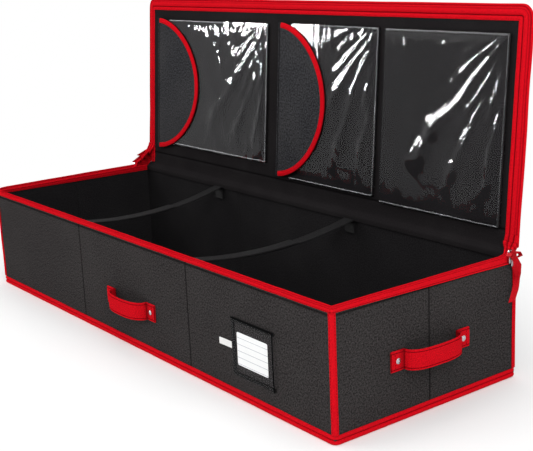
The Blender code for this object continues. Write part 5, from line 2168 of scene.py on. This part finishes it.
@dataclass
class Pocket:
    """A clear pocket on the lid: a piped edge on three sides, open at the left, and a creased film."""

    name: str
    left: float
    right: float
    low: float
    high: float
    cover: tuple[float, float] | None
    steep: float
    seed: float
    folds: tuple[tuple[float, float, float, float, float], ...] = (
        (0.30, 0.05, 0.9, 0.05, 0.17), (0.48, 0.05, 1.0, 0.03, 0.13), (0.66, 0.045, 1.2, 0.02, 0.17),
        (0.84, 0.055, 1.3, 0.02, 0.32), (1.00, 0.035, 1.2, 0.05, 0.20), (1.12, 0.04, 1.2, 0.12, 0.30),
        (1.24, 0.035, 1.2, 0.04, 0.18), (1.36, 0.035, 1.3, 0.10, 0.28),
    )
    bar: float = 4.0 * MM
    deep: float = 1.35 * MM
    sheet: float = -4.8 * MM
    thick: float = 0.6 * MM

    def swell(self, x: float, u: float) -> float:
        """Return how far the film stands off, in creases that run from its top right corner.

        Args:
            x: Place along the lid.
            u: Place up the lid.

        Returns:
            The distance towards the inside of the box.
        """
        hold = min(1.0, (self.right - x) / 0.014, (self.high - u) / 0.014, (u - self.low) / 0.014)
        hold = max(0.0, hold) * (0.75 + 0.25 * min(1.0, (x - self.left) / 0.05))
        away, down = self.right + 0.02 - x, self.high + 0.02 - u
        reach, turn = math.hypot(away, down), math.atan2(down, away)
        fold = 0.0
        for k, (angle, width, depth, start, stop) in enumerate(self.folds):
            middle = angle + 0.05 * ripple(reach / 0.06, k * 3.1, self.seed)
            wide = width * (1 + 0.45 * ripple(reach / 0.035, k * 5.3, self.seed + 2))
            fade = min(1.0, max(0.0, (reach - start) / 0.03)) * min(1.0, max(0.0, (stop - reach) / 0.05))
            fold += depth * fade * wide * reach * math.exp(-(((turn - middle) / wide) ** 2))
        crease = 1 - abs(ripple(x / 0.05 - u / 0.09, u / 0.07 + x / 0.12, self.seed + 5))
        small = 1 - abs(ripple(x / 0.018, u / 0.05, self.seed + 8))
        side = math.exp(-(((self.right - x - 0.022) / 0.016) ** 2))
        side += 0.6 * math.exp(-(((self.high - u - 0.02) / 0.015) ** 2))
        height = fold * self.steep + crease**5 * 0.5 * MM + small**3 * (0.15 + 0.9 * side) * MM
        if self.cover:
            hinge, reach = self.cover
            middle, half = (self.low + self.high) / 2, (self.high - self.low) / 2 + 0.006
            off = math.hypot((x - hinge) / reach, (u - middle) / half) - 1.0
            height *= min(1.0, max(0.10, 0.1 + 0.9 * (off - 0.03) / 0.22))
        return hold * height

    def build(self, shop: Shop) -> None:
        """Build the piped edge and the film.

        Args:
            shop: The finishes and trees.
        """
        half = (self.high - self.low) / 2 - self.bar / 2
        middle = (self.high + self.low) / 2
        course = Course(half, -self.right + self.bar / 2, -self.left, 1.0 * MM, closed=False, step=0.004, turns=4)

        def on_edge(x: float, y: float, up: float) -> Vector:
            """Put a point of the edge's course, which runs on its side, on the lid."""
            return on_lid(-y, middle + x, up - self.deep)

        profile = round_profile(self.bar, 5.6 * MM, 14)
        edge = course_band(course, profile, lambda x, y, up: uneven(on_edge(x, y, up), 0.011, 0.5 * MM))
        piece = edge.piece("pocket_%s_piping" % self.name, shop.look(BLACK_PIPING))
        dress(piece, "lid", Slot.LINING, "pocket_edge_" + self.name)
        film = film_sheet(
            lambda x, u, n: on_lid(x, u, self.sheet - n),
            steps(self.left, self.right, 0.0027), steps(self.low, self.high, 0.0027), self.swell, self.thick,
        ).piece("pocket_%s_film" % self.name, shop.look(CLEAR_FILM), sharp=60)
        dress(film, "lid", Slot.CLEAR, "pocket_window_" + self.name)


@dataclass
class Flap:
    """A curved cloth flap over a pocket, with a rolled red edge and a stitched hinge strip."""

    name: str
    hinge: float
    reach: float
    low: float
    high: float
    thick: float = 1.5 * MM
    edge: float = 6.0 * MM
    deep: float = 6.9 * MM
    strip_deep: float = 8.2 * MM
    strip_thick: float = 9.6 * MM
    anchor: float = 6.0 * MM
    point: float = 1.2

    def arc(self, grow: float, count: int = 40) -> list[Point2]:
        """Return the curved edge as (across, up), from top to bottom.

        Args:
            grow: Distance outwards.
            count: Steps along the edge.

        Returns:
            The points.
        """
        half = (self.high - self.low) / 2 - self.edge - 0.3 * MM + grow
        reach = self.reach - self.edge - 0.3 * MM + grow
        middle = (self.high + self.low) / 2
        turns = [math.pi * (0.5 - i / count) for i in range(count + 1)]
        across = [self.hinge + reach * max(0.0, math.cos(a)) ** self.point for a in turns]
        return [(x, middle + half * math.sin(a)) for x, a in zip(across, turns)]

    def bulge(self, x: float, u: float) -> float:
        """Return how far the flap's cloth swells towards the inside of the box.

        Args:
            x: Place along the lid.
            u: Distance from the hinge.

        Returns:
            The distance.
        """
        middle, half = (self.high + self.low) / 2, (self.high - self.low) / 2
        off = math.hypot((x - self.hinge) / self.reach, (u - middle) / half)
        share = max(0.0, 1 - off * off) * min(1.0, (x - self.hinge) / 0.03)
        return share * (1.3 * MM + 0.6 * MM * ripple(x / 0.05, u / 0.06, self.hinge * 50))

    def build(self, shop: Shop) -> None:
        """Build the cloth, the rolled edge, the hinge strip and the stitches.

        Args:
            shop: The finishes and trees.
        """
        body = "flap_" + self.name
        rim = self.arc(0.6 * MM)
        rings = []
        for x, u in rim:
            across = [self.hinge + (x - self.hinge) * t / 14 for t in range(15)]
            ring = [on_lid(a, u, -self.deep - self.thick / 2 - self.bulge(a, u)) for a in across]
            for a in reversed(across):
                ring.append(on_lid(a, u, -self.deep + self.thick / 2 - self.bulge(a, u) * 0.8))
            rings.append(ring)
        cloth = tube(rings[1:-1])
        flat = [LID_OPEN.inverted() @ v for v in cloth.verts]
        cloth.cloth = [tuple((flat[v].x, -flat[v].y) for v in face) for face in cloth.faces]
        panel = cloth.piece(body + "_cloth", shop.look(FLAP_CLOTH))
        dress(panel, body, Slot.FLAP, body)
        line = [on_lid(x, u, -self.deep) for x, u in self.arc(self.edge / 2 - 1.6 * MM, 64)]
        sides = [heading(line, i).cross(LID_OUT).normalized() for i in range(len(line))]
        smooth = ribbon_profile(self.edge + 3.8 * MM, 2.9 * MM, 0.1 * MM, 0.4 * MM, 12)
        profile = [(a, b * (1 + 0.12 * math.cos(a / MM))) for a, b in smooth]
        rings = [[uneven(p, 0.03, 0.22 * MM) for p in ring] for ring in swept(line, sides, profile)]
        dress(tube(rings).piece(body + "_piping", shop.look(RED_TAPE)), body, Slot.RED, "flap_binding_" + self.name)
        seam = [on_lid(x, u, -self.deep - 1.55 * MM) for x, u in self.arc(-1.8 * MM, 64)[2:-2]]
        shop.sew(body + "_edge_stitches", [seam], RED_THREAD, body, Slot.RED, 3.8 * MM)
        board = Board(
            on_lid(self.hinge - 0.3 * MM - self.anchor, self.low, -self.strip_deep), RIGHT, LID_UP, -LID_OUT,
            self.anchor, self.high - self.low, self.strip_thick, (self.anchor * 0.5,), step=0.004,
            groove=0.5 * MM, wave=0.3 * MM, pucker=0.1 * MM,
        )
        anchor = board.sketch().piece(body + "_hinge_strip", shop.look(FLAP_CLOTH), shop.look(FLAP_CLOTH))
        dress(anchor, "lid", Slot.FLAP, "flap_anchor_" + self.name)
        run = board.seam_line(self.anchor * 0.5, 0.008)
        shop.sew(body + "_hinge_stitches", [run], BLACK_THREAD, "lid", Slot.FLAP, 4.0 * MM, 0.5 * MM)


@dataclass
class Studio:
    """The camera at the photograph's angle, a pale floor and soft lamps."""

    place: Triple = (1.5116, -1.015, 0.6297)
    yaw: float = 53.371
    pitch: float = 14.197
    roll: float = -2.566
    focal_pixels: float = 1090.6
    frame_width: float = 533.0
    sensor: float = 36.0
    floor_size: float = 9.0
    world_strength: float = 0.6
    lamps: tuple[tuple[str, Triple, tuple[float, float], float], ...] = (
        ("key", (1.9, -0.9, 1.8), (1.2, 1.2), 30.0),
        ("fill", (-1.6, -2.4, 1.4), (1.6, 1.6), 24.0),
        ("top", (-0.2, 0.2, 2.6), (1.6, 1.6), 13.0),
        ("far_glint", (-3.10, -1.24, 1.34), (0.5, 1.6), 300.0),
        ("near_glint", (-1.94, -1.25, 1.06), (0.36, 1.3), 200.0),
    )
    shine_only: tuple[str, ...] = ("far_glint", "near_glint")

    def camera(self) -> None:
        """Set up the camera."""
        yaw, pitch, roll = (math.radians(a) for a in (self.yaw, self.pitch, self.roll))
        ahead = Vector((-math.sin(yaw) * math.cos(pitch), math.cos(yaw) * math.cos(pitch), -math.sin(pitch)))
        right = Vector((math.cos(yaw), math.sin(yaw), 0.0))
        up = right.cross(ahead)
        side = right * math.cos(roll) + up * math.sin(roll)
        top = up * math.cos(roll) - right * math.sin(roll)
        lens = bpy.data.cameras.new("camera")
        lens.sensor_width = self.sensor
        lens.lens = self.sensor * self.focal_pixels / self.frame_width
        lens.clip_end = 50.0
        made = bpy.data.objects.new("camera", lens)
        bpy.context.scene.collection.objects.link(made)
        turn = Matrix((side, top, -ahead)).transposed().to_4x4()
        made.matrix_world = Matrix.Translation(Vector(self.place)) @ turn
        bpy.context.scene.camera = made

    def floor(self) -> None:
        """Lay the pale floor."""
        half = self.floor_size / 2
        made = Sketch()
        rows = [[Vector((x, y, -0.6 * MM)) for x in (-half, 0.0, half)] for y in (-half, 0.0, half)]
        made.grid(rows)
        look, w, shader, out = start_material("pale floor")
        place = w.add("ShaderNodeTexCoord").outputs["Object"]
        colour = w.blend(w.cloud(place, 3.0), paint(248, 248, 248), paint(251, 251, 251))
        w.fill(shader, {"Base Color": colour, "Roughness": 0.9, "Specular IOR Level": 0.1})
        oval = w.vector("MULTIPLY", place, (0.55, 1.0, 1.0))
        away = w.add("ShaderNodeVectorMath", {0: oval}, operation="LENGTH").outputs["Value"]
        white = w.calc("MULTIPLY", w.between(away, 0.28, 0.60), w.seen())
        w.feed(out.inputs["Surface"], w.mix(white, shader, w.add("ShaderNodeEmission")))
        made.piece("floor", look)

    def light(self) -> None:
        """Hang the lamps and set the world."""
        for name, place, size, power in self.lamps:
            lamp = bpy.data.lights.new(name, "AREA")
            lamp.shape, lamp.energy = "RECTANGLE", power
            lamp.size, lamp.size_y = size
            made = bpy.data.objects.new(name, lamp)
            made.visible_diffuse = name not in self.shine_only
            made.visible_transmission = False
            made.location = place
            made.rotation_euler = (Vector((0, 0, 0.15)) - Vector(place)).to_track_quat("-Z", "Y").to_euler()
            bpy.context.scene.collection.objects.link(made)
        world = bpy.data.worlds.new("studio")
        world.use_nodes = True
        bpy.context.scene.world = world
        w = Wiring(world.node_tree)
        world.node_tree.nodes.clear()
        white = (1.0, 1.0, 1.0, 1.0)
        soft, shown = (
            w.add("ShaderNodeBackground", {"Color": white, "Strength": power}) for power in (self.world_strength, 1.0)
        )
        w.add("ShaderNodeOutputWorld", {"Surface": w.mix(w.seen(), soft, shown)})
        bpy.context.scene.view_settings.view_transform = "Standard"

    def build(self) -> None:
        """Set up camera, floor and light."""
        self.camera()
        self.floor()
        self.light()


def main() -> None:
    """Build the studio and the organizer, sub-assembly by sub-assembly."""
    logging.basicConfig(level=logging.INFO, format="%(name)s: %(message)s")
    noise.seed_set(CLOTH_SEED)
    Studio().build()
    shop = Shop()
    Base().build(shop)
    Walls().build(shop)
    RimTrim().build(shop)
    Handle("front_handle", Vector((0.0, -0.175, 0.07405)), RIGHT, -BACK, 0.004).build(shop)
    Handle("right_handle", Vector((0.51, 0.0, 0.08808)), BACK, RIGHT, 0.004).build(shop)
    Handle("left_handle", Vector((-0.526, 0.0, 0.08808)), -BACK, -RIGHT, 0.0015).build(shop)
    OuterPocket().build(shop)
    Label().build(shop)
    Straps().build(shop)
    ZipPulls().build(shop)
    Lid().build(shop)
    for pocket in (
        Pocket("left", -0.420, -0.088, 0.0559, 0.3110, (-0.4521, 0.1418), 0.11, 2.2),
        Pocket("middle", -0.0158, 0.2060, 0.0360, 0.3130, (-0.0440, 0.1240), 0.19, 6.4),
        Pocket("right", 0.2228, 0.4768, 0.0300, 0.3120, None, 0.30, 9.1),
    ):
        pocket.build(shop)
    for flap in (Flap("left", -0.4521, 0.1418, 0.0451, 0.3130), Flap("middle", -0.0440, 0.1240, 0.0381, 0.3140)):
        flap.build(shop)


if __name__ == "__main__":
    main()
